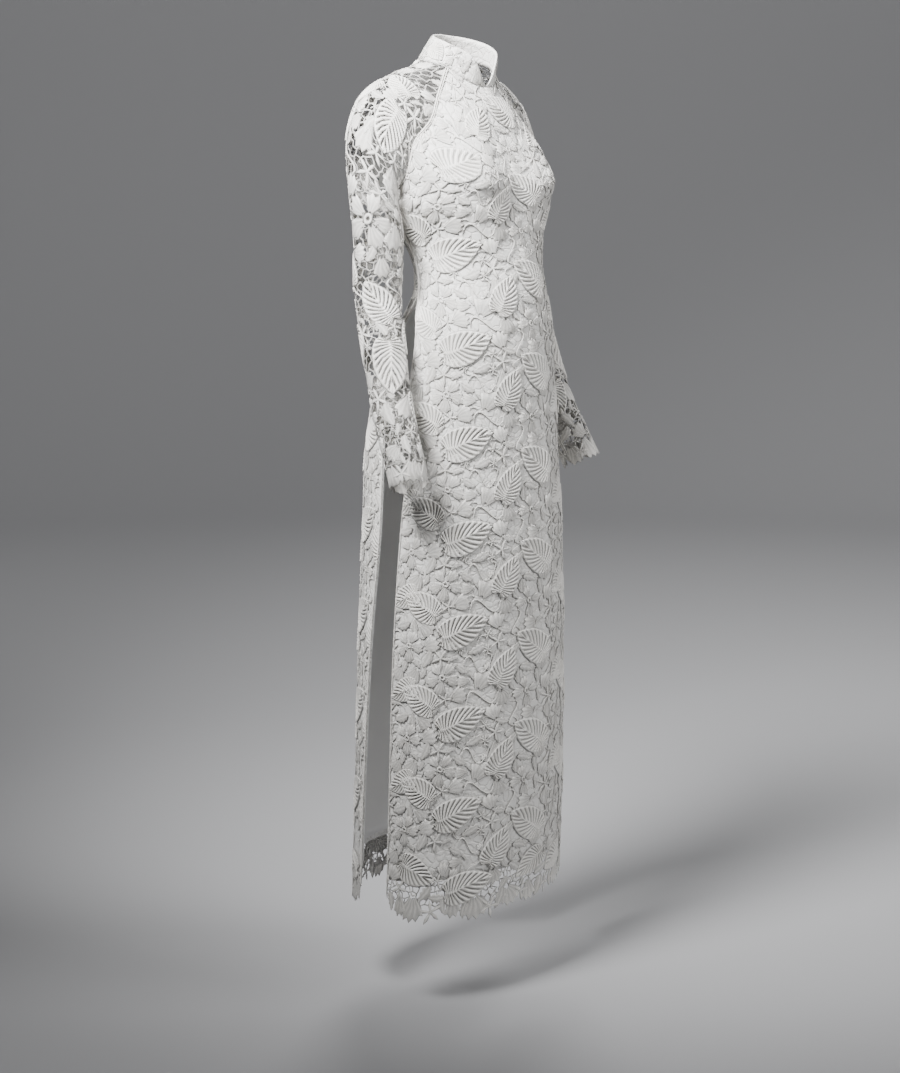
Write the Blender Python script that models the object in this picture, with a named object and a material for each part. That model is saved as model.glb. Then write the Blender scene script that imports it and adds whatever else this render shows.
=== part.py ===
"""Lace ao dai tunic: stand collar, raglan lace sleeves, lined front and back panels open at both sides below the waist.

Metres, +Z up. The garment faces -Y, its right side is at -X, and the origin is the middle of the neck seam.
"""
import bpy
import numpy as np
from mathutils import Vector
from mathutils.geometry import delaunay_2d_cdt

# Driving dimensions, metres
GAP = 0.0003             # between two sewn pieces, and between a lace and its lining
LINING = 0.0012          # thickness of the lining cloth
LACE = 0.0020            # thickness of the corded lace
RAISED = 0.0012          # how far a leaf stands out of the lace
EASE = 0.090             # below the armpits the yoke's sections ease into the body's over this height
SLIT_TOP = -0.340        # where the side seams end and the panels part
ARMPIT = -0.205          # where the raglan seams meet the side seams
HIP_END = -0.620         # the panels hang nearly straight below this
LINING_HEM = -1.262      # the lining stops above the cut-out lace edge
LACE_HEM = -1.314        # roots of the petals along the lace edge, at the sides
HEM_DIP = 0.014          # the middle of the hem hangs this much lower
PETAL = 0.022            # depth of the petals along the hem
HEM_PETALS = 11          # petals across one panel
PETAL_ROUND = 0.7        # below 1 the petals grow broader and their notches sharper
HEM_GAP = (0.013, 0.009)   # the gap in the root of every second petal, and how far above the root it lies
HEM_GAP_RISE = 0.012
CUFF_PETALS = 4          # petals across half a cuff
CUFF_PETAL = 0.018       # depth of the petals round the cuff
LEAF_LENGTH = 0.074      # a leaf of the lace, tip to stalk
LEAF_WIDTH = 0.056
REPEAT = 0.148           # height of the lace's repeat
COLLAR = 0.0026          # thickness of the stiffened collar


def table(columns, *rows):
    """A table with one named column for each word."""
    values = np.array(rows, float)
    return {name: values[:, i] for i, name in enumerate(columns.split())}


# The sleeve and its raglan yoke, from neck to cuff, for the right arm. Each row is an arc over the arm: it passes the
# top line, turns by "reach" degrees to either side of it, and its two ends lie "side" before and behind "under".
SLEEVE = table(
    "row top_x   top_y  top_z  under_x under_y under_z side_x side_y side_z reach",
    (0, -0.0625, 0.002, 0.014, -0.0535, 0.002, 0.0115, 0.0017, 0.0346, 0.0075, 60),
    (1, -0.1040, 0.022, -0.001, -0.0850, 0.014, -0.0350, 0.0000, 0.0543, 0.0066, 65),
    (2, -0.1380, 0.031, -0.015, -0.1125, 0.0195, -0.0775, -0.0026, 0.0644, 0.0000, 75),
    (3, -0.1720, 0.034, -0.040, -0.1400, 0.022, -0.1150, -0.0010, 0.0560, -0.0030, 95),
    (4, -0.2040, 0.029, -0.091, -0.1490, 0.0145, -0.1630, -0.0010, 0.0450, -0.0020, 120),
    (5, -0.2150, 0.018, -0.165, -0.1490, 0.012, -0.2050, 0.0000, 0.0400, 0.0000, 180),
    (6, -0.2130, 0.010, -0.262, -0.1400, 0.008, -0.2680, 0.0000, 0.0390, 0.0000, 180),
    (7, -0.2130, 0.009, -0.350, -0.1440, 0.007, -0.3560, 0.0000, 0.0360, -0.0050, 180),
    (8, -0.2280, -0.0205, -0.434, -0.1640, -0.0225, -0.4460, 0.0000, 0.0325, -0.0110, 180),
    (9, -0.2430, -0.052, -0.520, -0.1840, -0.054, -0.5320, 0.0000, 0.0310, -0.0120, 180),
    (10, -0.2500, -0.083, -0.590, -0.1950, -0.085, -0.6020, 0.0000, 0.0310, -0.0120, 180),
    (11, -0.2510, -0.093, -0.628, -0.1970, -0.095, -0.6400, 0.0000, 0.0295, -0.0110, 180),
)
# The left arm hangs a little further back than the right one.
LEFT_ARM = table(
    "row inward back",
    (0, 0.000, 0.000),
    (4, 0.000, 0.000),
    (5, 0.000, 0.000),
    (6, 0.000, 0.000),
    (7, 0.000, -0.002),
    (8, 0.002, 0.012),
    (9, 0.006, 0.018),
    (10, 0.004, 0.016),
    (11, 0.000, 0.006),
)
YOKE_ROWS = 5            # rows 0 to 5 run along the raglan seams
CUFF_ROW = 10.55         # where the petals of the cuff begin

# The body, from the armpit to the hem: half its width, its depth before and behind its middle, where that middle lies,
# how far round from the middle of the front lie the side seam and, below it, the edges of the front and of the back,
# and how far the bust darts push the cups out.
BODY = table(
    "row    half   front  back   mid     seam front_edge back_edge cup",
    (-0.205, 0.1500, 0.125, 0.091, 0.000, 97, 97, 97, 0.018),
    (-0.250, 0.1270, 0.111, 0.087, -0.020, 104, 104, 104, 0.007),
    (-0.300, 0.1150, 0.098, 0.086, -0.041, 110, 110, 110, 0.000),
    (-0.340, 0.1170, 0.096, 0.091, -0.050, 112, 112, 112, 0.000),
    (-0.400, 0.1360, 0.113, 0.114, -0.040, 112, 94, 114, 0.000),
    (-0.480, 0.1530, 0.130, 0.135, -0.024, 112, 85, 108, 0.000),
    (-0.570, 0.1670, 0.136, 0.148, -0.018, 112, 80, 101, 0.000),
    (-0.720, 0.1800, 0.130, 0.160, -0.025, 112, 85, 102, 0.000),
    (-0.890, 0.1900, 0.120, 0.170, -0.029, 112, 89, 108, 0.000),
    (-1.150, 0.1990, 0.112, 0.176, -0.028, 112, 90, 112, 0.000),
    (-1.420, 0.2060, 0.096, 0.180, -0.024, 112, 90, 112, 0.000),
)
# The middle line of the front and of the back, from the neck to the armpit, row by row with the raglan seams.
CHEST = table(
    "row mid_y   mid_z  span cup",
    (0, -0.0623, -0.025, 63, 0.000),
    (1, -0.0790, -0.060, 66, 0.000),
    (2, -0.0920, -0.095, 70, 0.004),
    (3, -0.1070, -0.130, 78, 0.014),
    (4, -0.1190, -0.168, 84, 0.029),
    (5, -0.1250, -0.205, 97, 0.018),
)
UPPER_BACK = table(
    "row mid_y  mid_z  span",
    (0, 0.0610, 0.018, 58),
    (1, 0.0800, -0.030, 62),
    (2, 0.0930, -0.080, 68),
    (3, 0.0980, -0.125, 76),
    (4, 0.0970, -0.165, 81),
    (5, 0.0920, -0.205, 83),
)
CUP_ANGLE, CUP_SPREAD = 37.0, 24.0   # where the cups stand, degrees from the middle of the front


def read(rows, column, at):
    """A smooth curve through one column of a table, read at these rows."""
    x, y = rows["row"], rows[column]
    if x[0] > x[-1]:
        x, y = x[::-1], y[::-1]
    slope = np.gradient(y, x)
    at = np.asarray(at, float)
    i = np.clip(np.searchsorted(x, at) - 1, 0, len(x) - 2)
    step = x[i + 1] - x[i]
    t = np.clip((at - x[i]) / step, 0, 1)
    return (
        (2 * t**3 - 3 * t**2 + 1) * y[i]
        + (t**3 - 2 * t**2 + t) * step * slope[i]
        + (3 * t**2 - 2 * t**3) * y[i + 1]
        + (t**3 - t**2) * step * slope[i + 1]
    )


def point(rows, name, at):
    """A point of a table that has the columns NAME_x, NAME_y and NAME_z."""
    return np.stack([read(rows, f"{name}_{axis}", at) for axis in "xyz"], axis=-1)


def sleeve_form(u, row):
    """The right sleeve: u runs from -1, the front seam, over the top line at 0 to 1, the back seam."""
    u, row = np.broadcast_arrays(np.asarray(u, float), np.asarray(row, float))
    top, under, side = (point(SLEEVE, name, row) for name in ("top", "under", "side"))
    reach = np.radians(np.minimum(read(SLEEVE, "reach", row), 180))[..., None]
    centre = (under - top * np.cos(reach)) / (1 - np.cos(reach))
    turn = reach * u[..., None]
    return centre + (top - centre) * np.cos(turn) + side * np.sin(turn)


def yoke_form(u, row, middle, end, facing):
    """Front or back above the armpits: an arc from one raglan seam over the middle line to the other."""
    edge = sleeve_form(end, row)
    mid_y, mid_z = read(middle, "mid_y", row), read(middle, "mid_z", row)
    span = np.radians(read(middle, "span", row))
    turn = span * u
    share = (1 - np.cos(turn)) / (1 - np.cos(span))
    x = -edge[..., 0] * np.sin(turn) / np.sin(span)
    y = mid_y + (edge[..., 1] - mid_y) * share
    z = mid_z + (edge[..., 2] - mid_z) * share
    if facing < 0:
        y = y - cup(np.degrees(turn), read(middle, "cup", row))
    return np.stack([x, y, z], axis=-1)


def cup(angle, depth):
    return depth * np.exp(-(((np.abs(angle) - CUP_ANGLE) / CUP_SPREAD) ** 2))


def body_form(turn, z):
    """The body below the armpits: turn is the angle in degrees from the middle of the front."""
    half, front, back, mid = (read(BODY, name, z) for name in ("half", "front", "back", "mid"))
    angle = np.radians(turn)
    depth = np.where(np.cos(angle) > 0, front, back)
    y = mid - depth * np.cos(angle) - cup(turn, read(BODY, "cup", z)) * (np.cos(angle) > 0)
    return np.stack([half * np.sin(angle), y, z + 0 * angle], axis=-1)


def edge_angle(column, z):
    """The side seam's angle down to the top of the slit, and below it that of the front's or the back's edge."""
    return np.where(z >= SLIT_TOP, read(BODY, "seam", z), read(BODY, column, z))


def rows_of(v):
    """v is 0 at the neck, 1 at the armpit and goes on downwards in metres: its yoke row and its height."""
    return np.clip(v, 0, 1) * YOKE_ROWS, np.minimum(ARMPIT, ARMPIT - (v - 1))


def fade(z):
    """1 at the armpit, 0 from EASE below it: it eases the yoke's sections into the body's."""
    s = np.clip((ARMPIT - z) / EASE, 0, 1)
    return ((1 - s) ** 2 * (1 + 2 * s))[..., None]


def front_form(u, v):
    u, v = np.broadcast_arrays(np.asarray(u, float), np.asarray(v, float))
    row, z = rows_of(v)
    yoke = yoke_form(u, row, CHEST, -1.0, -1)
    body = body_form(u * edge_angle("front_edge", z), z)
    step = yoke_form(u, YOKE_ROWS, CHEST, -1.0, -1) - body_form(u * edge_angle("front_edge", ARMPIT), ARMPIT)
    body = body + step * fade(z)
    return np.where((v < 1)[..., None], yoke, body)


def back_form(u, v):
    u, v = np.broadcast_arrays(np.asarray(u, float), np.asarray(v, float))
    row, z = rows_of(v)
    yoke = yoke_form(u, row, UPPER_BACK, 1.0, 1)
    body = body_form(180 - u * (180 - edge_angle("back_edge", z)), z)
    turn = 180 - u * (180 - edge_angle("back_edge", ARMPIT))
    step = yoke_form(u, YOKE_ROWS, UPPER_BACK, 1.0, 1) - body_form(turn, ARMPIT)
    body = body + step * fade(z)
    return np.where((v < 1)[..., None], yoke, body)


def at_height(z):
    """The v of a height below the armpit."""
    return 1 + ARMPIT - z


# ---- solids: where the layers lie, metres outwards from the form
LACE_OUT = 0.0005
LACE_IN = LACE_OUT - LACE
LINING_OUT = LACE_IN - GAP
LINING_IN = LINING_OUT - LINING
SEAM = GAP / 2           # each edge keeps this far from the line of its seam
SEAM_AT_ARMPIT = 0.0004  # and this far where the raglan seams fold together under the arm

YOKE_STEPS = 8           # rows of facets from the neck to the armpit
SEAM_STEPS = 5           # from the armpit to the top of the slit
HIP_STEPS = 9            # from there over the hips
FLAP_STEPS = 6           # and down the straight flap to the lining's hem
PANEL_COLUMNS = 12       # facets across the front or the back
SLEEVE_COLUMNS = 6       # facets across half a sleeve
SLEEVE_STEPS = 12        # rows of facets from the armpit to the cuff
EDGE_CLEAR = 0.007       # a gap or a leaf keeps this far from the edges of its piece
LEAF_CLEAR = 0.010       # a leaf keeps this far from the edges
GAP_CLEAR = 0.003        # gaps and leaves keep this far from each other
POINT_CLEAR = 0.005      # a corner of the facets keeps this far from a gap

FABRIC = {
    "lace": ((0.80, 0.78, 0.75), 0.75),
    "lining": ((0.86, 0.85, 0.83), 0.38),
}


def normal(form, u, v, outward):
    small = 1e-4
    along_u = form(u + small, v) - form(u - small, v)
    along_v = form(u, v + small) - form(u, v - small)
    across = np.cross(along_u, along_v)
    return outward * across / np.linalg.norm(across, axis=-1, keepdims=True)


def unit(vectors):
    return vectors / np.linalg.norm(vectors, axis=-1, keepdims=True)


def row_form(u, v):
    """The right sleeve with the panels' v down to the armpit, and going on to the cuff: v is row / 5."""
    return sleeve_form(u, np.asarray(v) * YOKE_ROWS)


def left_form(u, v):
    row = np.asarray(v, float) * YOKE_ROWS
    swing = np.stack([read(LEFT_ARM, "inward", row), read(LEFT_ARM, "back", row), 0 * row], axis=-1)
    return (sleeve_form(u, row) + swing) * (-1, 1, 1)


def seam_direction(v):
    """Where the walls of the right side's seams point: halfway between the pieces that meet there."""
    v = np.asarray(v, float)
    upper = np.clip(v, 0.002, 0.998)
    lower = np.maximum(v, 1.002)
    raglan_front = normal(front_form, -0.999, upper, -1) + normal(row_form, -0.999, upper, 1)
    raglan_back = normal(back_form, -0.999, upper, 1) + normal(row_form, 0.999, upper, 1)
    side = normal(front_form, -0.999, lower, -1) + normal(back_form, -0.999, lower, 1)
    return unit(raglan_front), unit(raglan_back), unit(side)


ARMPIT_DIRECTION = unit(
    unit(normal(front_form, -0.999, 1.002, -1) + normal(back_form, -0.999, 1.002, 1))
    + unit(normal(row_form, -0.999, 1.03, 1) + normal(row_form, 0.999, 1.03, 1))
)


def panel_normal(form, outward):
    """Normals of the front or the back, turned to the shared seam directions along their edges."""

    def at(u, v):
        own = normal(form, np.clip(u, -0.998, 0.998), np.where(np.abs(v - 1) < 2e-3, v + 3e-3, v), outward)
        raglan_front, raglan_back, side = seam_direction(v)
        raglan = raglan_front if outward < 0 else raglan_back
        seam = np.where((v < 1)[..., None], raglan, side)
        seam = np.where((np.abs(v - 1) < 1e-6)[..., None], ARMPIT_DIRECTION, seam)
        seam = seam * np.stack([-np.sign(u), np.ones_like(u), np.ones_like(u)], axis=-1)
        sewn = (np.abs(u) > 0.99) & (v < at_height(SLIT_TOP) + 1e-6)
        return np.where(sewn[..., None], seam, own)

    return at


def sleeve_normal(form, outward):

    def at(u, v):
        own = normal(form, np.clip(u, -0.998, 0.998), v, outward)
        raglan_front, raglan_back, _ = seam_direction(v)
        seam = np.where((u < 0)[..., None], raglan_front, raglan_back)
        seam = np.where((np.abs(v - 1) < 1e-6)[..., None], ARMPIT_DIRECTION, seam)
        seam = seam * (outward, 1, 1)
        sewn = (np.abs(u) > 0.99) & (v < 1 + 1e-6)
        return np.where(sewn[..., None], seam, own)

    return at


class Plan:
    """A piece's flat plan in metres: x across from u = 0, y down from the neck."""

    def __init__(self, form, v_end):
        self.v = np.linspace(0, v_end, 300)
        u = np.linspace(-0.9999, 0.9999, 41)
        grid = form(u[None, :], self.v[:, None])
        self.half = np.linalg.norm(np.diff(grid, axis=1), axis=-1).sum(axis=1) / 2
        steps = np.linalg.norm(np.diff(grid, axis=0), axis=-1).mean(axis=1)
        self.down = np.concatenate([[0], np.cumsum(steps)])

    def uv(self, points):
        points = np.asarray(points, float)
        v = np.interp(points[..., 1], self.down, self.v)
        return points[..., 0] / np.interp(v, self.v, self.half), v

    def xy(self, u, v):
        return np.stack([u * np.interp(v, self.v, self.half), np.interp(v, self.v, self.down) + 0 * u], axis=-1)

    def half_at(self, y):
        return np.interp(np.interp(y, self.down, self.v), self.v, self.half)


def seam_gap(v):
    """How far an edge keeps from the line of its seam, by how near the armpit it is."""
    return SEAM + (SEAM_AT_ARMPIT - SEAM) * np.exp(-(((np.asarray(v, float) - 0.95) / 0.15) ** 2))


def inside(points, polygon):
    """Which points lie inside a polygon, by counting its edges to one side."""
    x, y = points[:, None, 0], points[:, None, 1]
    a, b = polygon, np.roll(polygon, -1, axis=0)
    spans = (a[:, 1] > y) != (b[:, 1] > y)
    rise = np.where(b[:, 1] == a[:, 1], 1e-12, b[:, 1] - a[:, 1])
    crossing = a[:, 0] + (y - a[:, 1]) / rise * (b[:, 0] - a[:, 0])
    return (spans & (x < crossing)).sum(axis=1) % 2 == 1


def triangulate(points, edges, loops):
    """Triangles over points that keep these edges: the first loop is the outline, the others are holes.

    Where edges cross, their crossing joins the points, after those that were given.
    """
    found, _, faces, origin, _, _ = delaunay_2d_cdt([Vector(p) for p in points], edges, [], 0, 1e-7)
    names, crossings = [], []
    for place, given in zip(found, origin):
        if given:
            names.append(given[0])
        else:
            names.append(len(points) + len(crossings))
            crossings.append(place[:])
    if crossings:
        points = np.concatenate([points, crossings])
    faces = np.array([[names[i] for i in face] for face in faces])
    middle = points[faces].mean(axis=1)
    keep = inside(middle, points[loops[0]])
    for hole in loops[1:]:
        keep &= ~inside(middle, points[hole])
    faces = faces[keep]
    p, q, r = (points[faces[:, i]] for i in range(3))
    turned = np.cross(q - p, r - p) < 0
    faces[turned] = faces[turned][:, ::-1]
    return points, faces


def rim(faces):
    """The edges that only one triangle has, in its direction."""
    edges = {}
    for a, b, c in faces:
        for edge in ((a, b), (b, c), (c, a)):
            edges[edge] = True
    return [(a, b) for a, b in edges if (b, a) not in edges]


def clearance(points, loop):
    """How far each point is from the line of a closed loop."""
    a, b = loop[None], np.roll(loop, -1, axis=0)[None]
    p = np.asarray(points)[:, None]
    along = ((p - a) * (b - a)).sum(-1) / np.maximum(((b - a) ** 2).sum(-1), 1e-15)
    return np.linalg.norm(a + np.clip(along, 0, 1)[..., None] * (b - a) - p, axis=-1).min(axis=1)


def petals(count, depth, across):
    """How far a cut lace edge hangs below its roots, across 0 to 1: round petals with a notch between."""
    phase = across * count % 1
    return depth * np.sin(np.pi * phase) ** PETAL_ROUND


def ellipse(count, length, width, turn, centre):
    """Points round an oval; turn is the angle in degrees of its long axis from +x, towards +y."""
    angle = np.linspace(0, 2 * np.pi, count, endpoint=False)
    x, y = length / 2 * np.cos(angle), width / 2 * np.sin(angle)
    turn = np.radians(turn)
    return np.stack([x * np.cos(turn) - y * np.sin(turn), x * np.sin(turn) + y * np.cos(turn)], axis=-1) + centre


# Half a leaf's outline and its rib, as shares of its length from the stalk's side to the tip, and of its width
LEAF_EDGE = table(
    "reach side",
    (-0.50, 0.00),
    (-0.30, 0.34),
    (0.00, 0.50),
    (0.30, 0.36),
    (0.50, 0.00),
)
LEAF_RIB = 0.36          # the rib stands out between these shares of its length


def turned(x, y, turn, centre):
    turn = np.radians(turn)
    return np.stack([x * np.cos(turn) - y * np.sin(turn), x * np.sin(turn) + y * np.cos(turn)], axis=-1) + centre


class Leaf:
    """A pointed oval leaf that stands out of the lace like a low roof, highest along its rib."""

    def __init__(self, centre, turn, share):
        self.centre, self.turn = np.array(centre), turn
        self.length, self.width = LEAF_LENGTH * share, LEAF_WIDTH * share
        reach, side = LEAF_EDGE.values()
        x, y = np.concatenate([reach, reach[-2:0:-1]]), np.concatenate([side, -side[-2:0:-1]])
        self.outline = turned(x * self.length, y * self.width, turn, self.centre)
        self.rib = turned(np.array([-LEAF_RIB, 0, LEAF_RIB]) * self.length, np.zeros(3), turn, self.centre)

    def height(self, points):
        x, y = (turned(*(points - self.centre).T, -self.turn, 0.0) / (self.length, self.width)).T
        half = np.interp(x, LEAF_EDGE["reach"], LEAF_EDGE["side"])
        roof = 1 - np.abs(y) / np.maximum(half, 1e-6)
        return np.clip(np.minimum(roof, (0.5 - np.abs(x)) / (0.5 - LEAF_RIB)), 0, 1)


class Drawing:
    """A flat plan with its outline, the corners of its facets, and the gaps and leaves drawn on it."""

    def __init__(self, plan, outline, columns):
        self.plan, self.outline, self.columns = plan, np.array(outline), columns
        self.gaps, self.leaves, self.line, self.line_ends = [], [], np.zeros((0, 2)), None

    def has_room(self, loop, edge, clear):
        if not inside(loop, self.outline).all() or clearance(loop, self.outline).min() < edge:
            return False
        drawn = self.gaps + [leaf.outline for leaf in self.leaves]
        return all(clearance(loop, other).min() > clear and clearance(other, loop).min() > clear for other in drawn)

    def cut_gap(self, loop):
        if self.has_room(loop, EDGE_CLEAR, GAP_CLEAR):
            self.gaps.append(loop)

    def lay_leaf(self, centre, turn):
        for share in (1.0, 0.8, 0.6):
            leaf = Leaf(centre, turn, share)
            if self.has_room(leaf.outline, LEAF_CLEAR, GAP_CLEAR):
                self.leaves.append(leaf)
                return

    def clear_of_gaps(self, points, clear):
        for loop in self.gaps:
            points = points[(clearance(points, loop) > clear) & ~inside(points, loop)]
        return points

    def plain_faces(self):
        """The points and triangles without the leaves."""
        loops = [self.outline] + self.gaps
        corners = self.clear_of_gaps(np.concatenate(self.columns), POINT_CLEAR)
        starts = np.cumsum([0] + [len(loop) for loop in loops])
        rings = [list(range(a, b)) for a, b in zip(starts[:-1], starts[1:])]
        edges = ring_edges(rings)
        if len(self.line):
            chain = [self.line_ends[0], *range(starts[-1], starts[-1] + len(self.line)), self.line_ends[1]]
            edges += list(zip(chain[:-1], chain[1:]))
        return triangulate(np.concatenate(loops + [self.line, corners]), edges, rings)

    def leaf_faces(self):
        """The points, how far up its leaf's roof each lies, and the triangles between them.

        The facets stay as they are without leaves, but for those that a leaf crosses: there only the lines down
        the columns are kept.
        """
        points, faces = self.plain_faces()
        kept = sorted({tuple(sorted(edge)) for a, b, c in faces for edge in ((a, b), (b, c), (c, a))})
        start, end = (points[[edge[i] for edge in kept]] for i in (0, 1))
        free = np.ones(len(kept), bool)
        for leaf in self.leaves:
            free &= ~crosses(start, end, leaf.outline)
        (start_u, _), (end_u, _) = self.plan.uv(start), self.plan.uv(end)
        edges = [edge for edge, good in zip(kept, free | (np.abs(start_u - end_u) < 1e-6)) if good]
        outlines, ribs = [leaf.outline for leaf in self.leaves], [leaf.rib for leaf in self.leaves]
        starts = np.cumsum([len(points)] + [len(group) for group in outlines + ribs])
        spans = [list(range(a, b)) for a, b in zip(starts[:-1], starts[1:])]
        edges += ring_edges(spans[: len(outlines)])
        for span in spans[len(outlines) :]:
            edges += list(zip(span[:-1], span[1:]))
        rings = np.cumsum([0] + [len(loop) for loop in [self.outline] + self.gaps])
        loops = [list(range(a, b)) for a, b in zip(rings[:-1], rings[1:])]
        points, faces = triangulate(np.concatenate([points, *outlines, *ribs]), edges, loops)
        height = np.zeros(len(points))
        for leaf in self.leaves:
            height = np.maximum(height, leaf.height(points))
        return points, height, faces


def crosses(start, end, loop):
    """Which of these lines cross a closed loop or lie inside it."""
    a, b = loop[None], np.roll(loop, -1, axis=0)[None]
    p, q = start[:, None], end[:, None]

    def side(o, s, t):
        return (s[..., 0] - o[..., 0]) * (t[..., 1] - o[..., 1]) - (s[..., 1] - o[..., 1]) * (t[..., 0] - o[..., 0])

    cut = (side(p, q, a) * side(p, q, b) < 0) & (side(a, b, p) * side(a, b, q) < 0)
    return cut.any(axis=1) | inside((start + end) / 2, loop)


def ring_edges(rings):
    return [(ring[i], ring[(i + 1) % len(ring)]) for ring in rings for i in range(len(ring))]


def solid(name, fabric, corners, faces):
    mesh = bpy.data.meshes.new(name)
    mesh.from_pydata(corners.tolist(), [], faces)
    mesh.materials.append(fabric)
    mesh.shade_smooth()
    mesh.set_sharp_from_angle(angle=np.radians(40))
    piece = bpy.data.objects.new(name, mesh)
    bpy.context.scene.collection.objects.link(piece)
    return piece


def wall(name, fabric, drawing, form, normals, outward, inner, outer, part=None, lined=False):
    """A wall of cloth over a drawing, between two offsets from its form.

    A lined wall's inner side has the lining's own facets; part ends the wall this far down its plan, with no leaves.
    """
    points, height, faces = drawing.leaf_faces()
    base_points, base_faces = points, faces
    if lined or part is not None:
        base_points, base_faces = drawing.plain_faces()
    if part is not None:
        base_faces = base_faces[base_points[base_faces].mean(axis=1)[:, 1] < part]
        points, height, faces = base_points, np.zeros(len(base_points)), base_faces

    def place(flat, offset):
        u, v = drawing.plan.uv(flat)
        return form(u, v) + normals(u, v) * np.asarray(offset)[..., None]

    out = place(points, outer + RAISED * height)
    back = place(base_points, np.full(len(base_points), inner))
    shift = len(out)
    triangles = [tuple(face) for face in faces]
    triangles += [(c + shift, b + shift, a + shift) for a, b, c in base_faces]
    for a, b in rim(faces):
        if points[a, 1] < points[b, 1]:
            triangles += [(b, a, b + shift), (a, a + shift, b + shift)]
        else:
            triangles += [(b, a, a + shift), (b, a + shift, b + shift)]
    if outward < 0:
        triangles = [face[::-1] for face in triangles]
    used = sorted({i for face in triangles for i in face})
    order = {old: new for new, old in enumerate(used)}
    corners = np.concatenate([out, back])[used]
    return solid(name, fabric, corners, [tuple(order[i] for i in face) for face in triangles])


def cloth(name):
    colour, roughness = FABRIC[name]
    material = bpy.data.materials.new(name)
    material.use_nodes = True
    shader = material.node_tree.nodes["Principled BSDF"]
    shader.inputs["Base Color"].default_value = (*colour, 1)
    shader.inputs["Roughness"].default_value = roughness
    return material


# The lace's repeat, metres from the middle of a leaf: gaps through the lace of the sleeves
GAPS = table(
    "across   down   long   wide   turn",
    (0.028, 0.043, 0.0120, 0.0085, 35),
    (-0.028, 0.043, 0.0120, 0.0085, -35),
    (0.047, 0.052, 0.0110, 0.0080, 80),
    (-0.047, 0.052, 0.0110, 0.0080, -80),
    (0.012, 0.093, 0.0110, 0.0085, -25),
    (-0.014, 0.094, 0.0110, 0.0085, 25),
    (0.036, 0.098, 0.0120, 0.0090, 20),
    (-0.036, 0.100, 0.0120, 0.0090, -20),
    (0.044, 0.022, 0.0110, 0.0080, 75),
    (-0.044, 0.022, 0.0110, 0.0080, -75),
)
GAPS_HALF = 0.118        # where half a sleeve is narrower than this, the gaps close up across it
SLEEVE_LEAF = 0.085      # the middle of the first leaf of a sleeve, down from the neck seam
SLEEVE_LEAF_TURN = -60
# Where the leaves stand on the front and the back: the middle of each column across, and of its first leaf down
LEAF_COLUMNS = table(
    "across  down   turn",
    (-0.130, 0.090, -38),
    (-0.200, 0.132, -150),
    (-0.055, 0.140, -40),
    (0.021, 0.066, -142),
    (0.096, 0.138, -40),
    (0.172, 0.066, -142),
)


def panel_rows():
    yoke = np.arange(YOKE_STEPS + 1) / YOKE_STEPS
    seam = at_height(np.linspace(ARMPIT, SLIT_TOP, SEAM_STEPS + 1))[1:]
    hip = at_height(np.linspace(SLIT_TOP, HIP_END, HIP_STEPS + 1))[1:]
    flap = at_height(np.linspace(HIP_END, LINING_HEM, FLAP_STEPS + 1))[1:]
    return np.concatenate([yoke, seam, hip, flap])


def hem_height(u):
    """The roots of the petals: lowest in the middle, and a little higher on the left side."""
    return LACE_HEM - HEM_DIP * np.cos(np.pi / 2 * u) + 0.012 * np.clip(u, 0, 1)


def draw_panel(form):
    """The front or the back, from the neck seam to the petals of the hem."""
    plan = Plan(form, at_height(LACE_HEM - HEM_DIP - PETAL - 0.01))
    rows = panel_rows()
    columns = np.linspace(-1, 1, PANEL_COLUMNS + 1)

    def edge(side, v):
        return plan.xy(float(side), v) - (side * seam_gap(v), 0)

    top = [plan.xy(u, 0.0) - (np.sign(u) * SEAM * (abs(u) == 1), 0) for u in columns]
    right = [edge(-1, v) for v in rows[1:]]
    left = [edge(1, v) for v in rows[1:]]
    across = np.linspace(-1, 1, HEM_PETALS * 4 + 1)
    hem = hem_height(across) - petals(HEM_PETALS, PETAL, (across + 1) / 2)
    bottom = [plan.xy(u, at_height(z)) for u, z in zip(across, hem)]
    outline = top + left + bottom[::-1] + right[::-1]
    band = [at_height((LINING_HEM + hem_height(u)) / 2) for u in columns]
    inner = [np.array([plan.xy(u, v) for v in (*rows[1:-1], band[i])]) for i, u in enumerate(columns)][1:-1]
    drawing = Drawing(plan, outline, inner)
    drawing.line = np.array([plan.xy(u, rows[-1]) for u in columns[1:-1]])
    start = len(top) + len(left) - 1
    drawing.line_ends = (start + len(bottom) + 1, start)
    return drawing


def front_and_back(lace, lining):
    for name, form, outward in (("front", front_form, -1), ("back", back_form, 1)):
        drawing = draw_panel(form)
        normals = panel_normal(form, outward)
        lining_end = np.interp(at_height(LINING_HEM), drawing.plan.v, drawing.plan.down)
        wall(f"lining_{name}", lining, drawing, form, normals, outward, LINING_IN, LINING_OUT, part=lining_end)
        for u in np.linspace(-1, 1, HEM_PETALS * 2 + 1)[1:-1:2]:
            centre = drawing.plan.xy(u, at_height(hem_height(u) + HEM_GAP_RISE))
            drawing.cut_gap(ellipse(6, *HEM_GAP, 90, centre))
        for across, first, turn in zip(*LEAF_COLUMNS.values()):
            for down in np.arange(first, drawing.plan.down[-1], REPEAT):
                drawing.lay_leaf((across, down), turn)
        wall(f"lace_{name}", lace, drawing, form, normals, outward, LACE_IN, LACE_OUT, lined=True)


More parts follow.
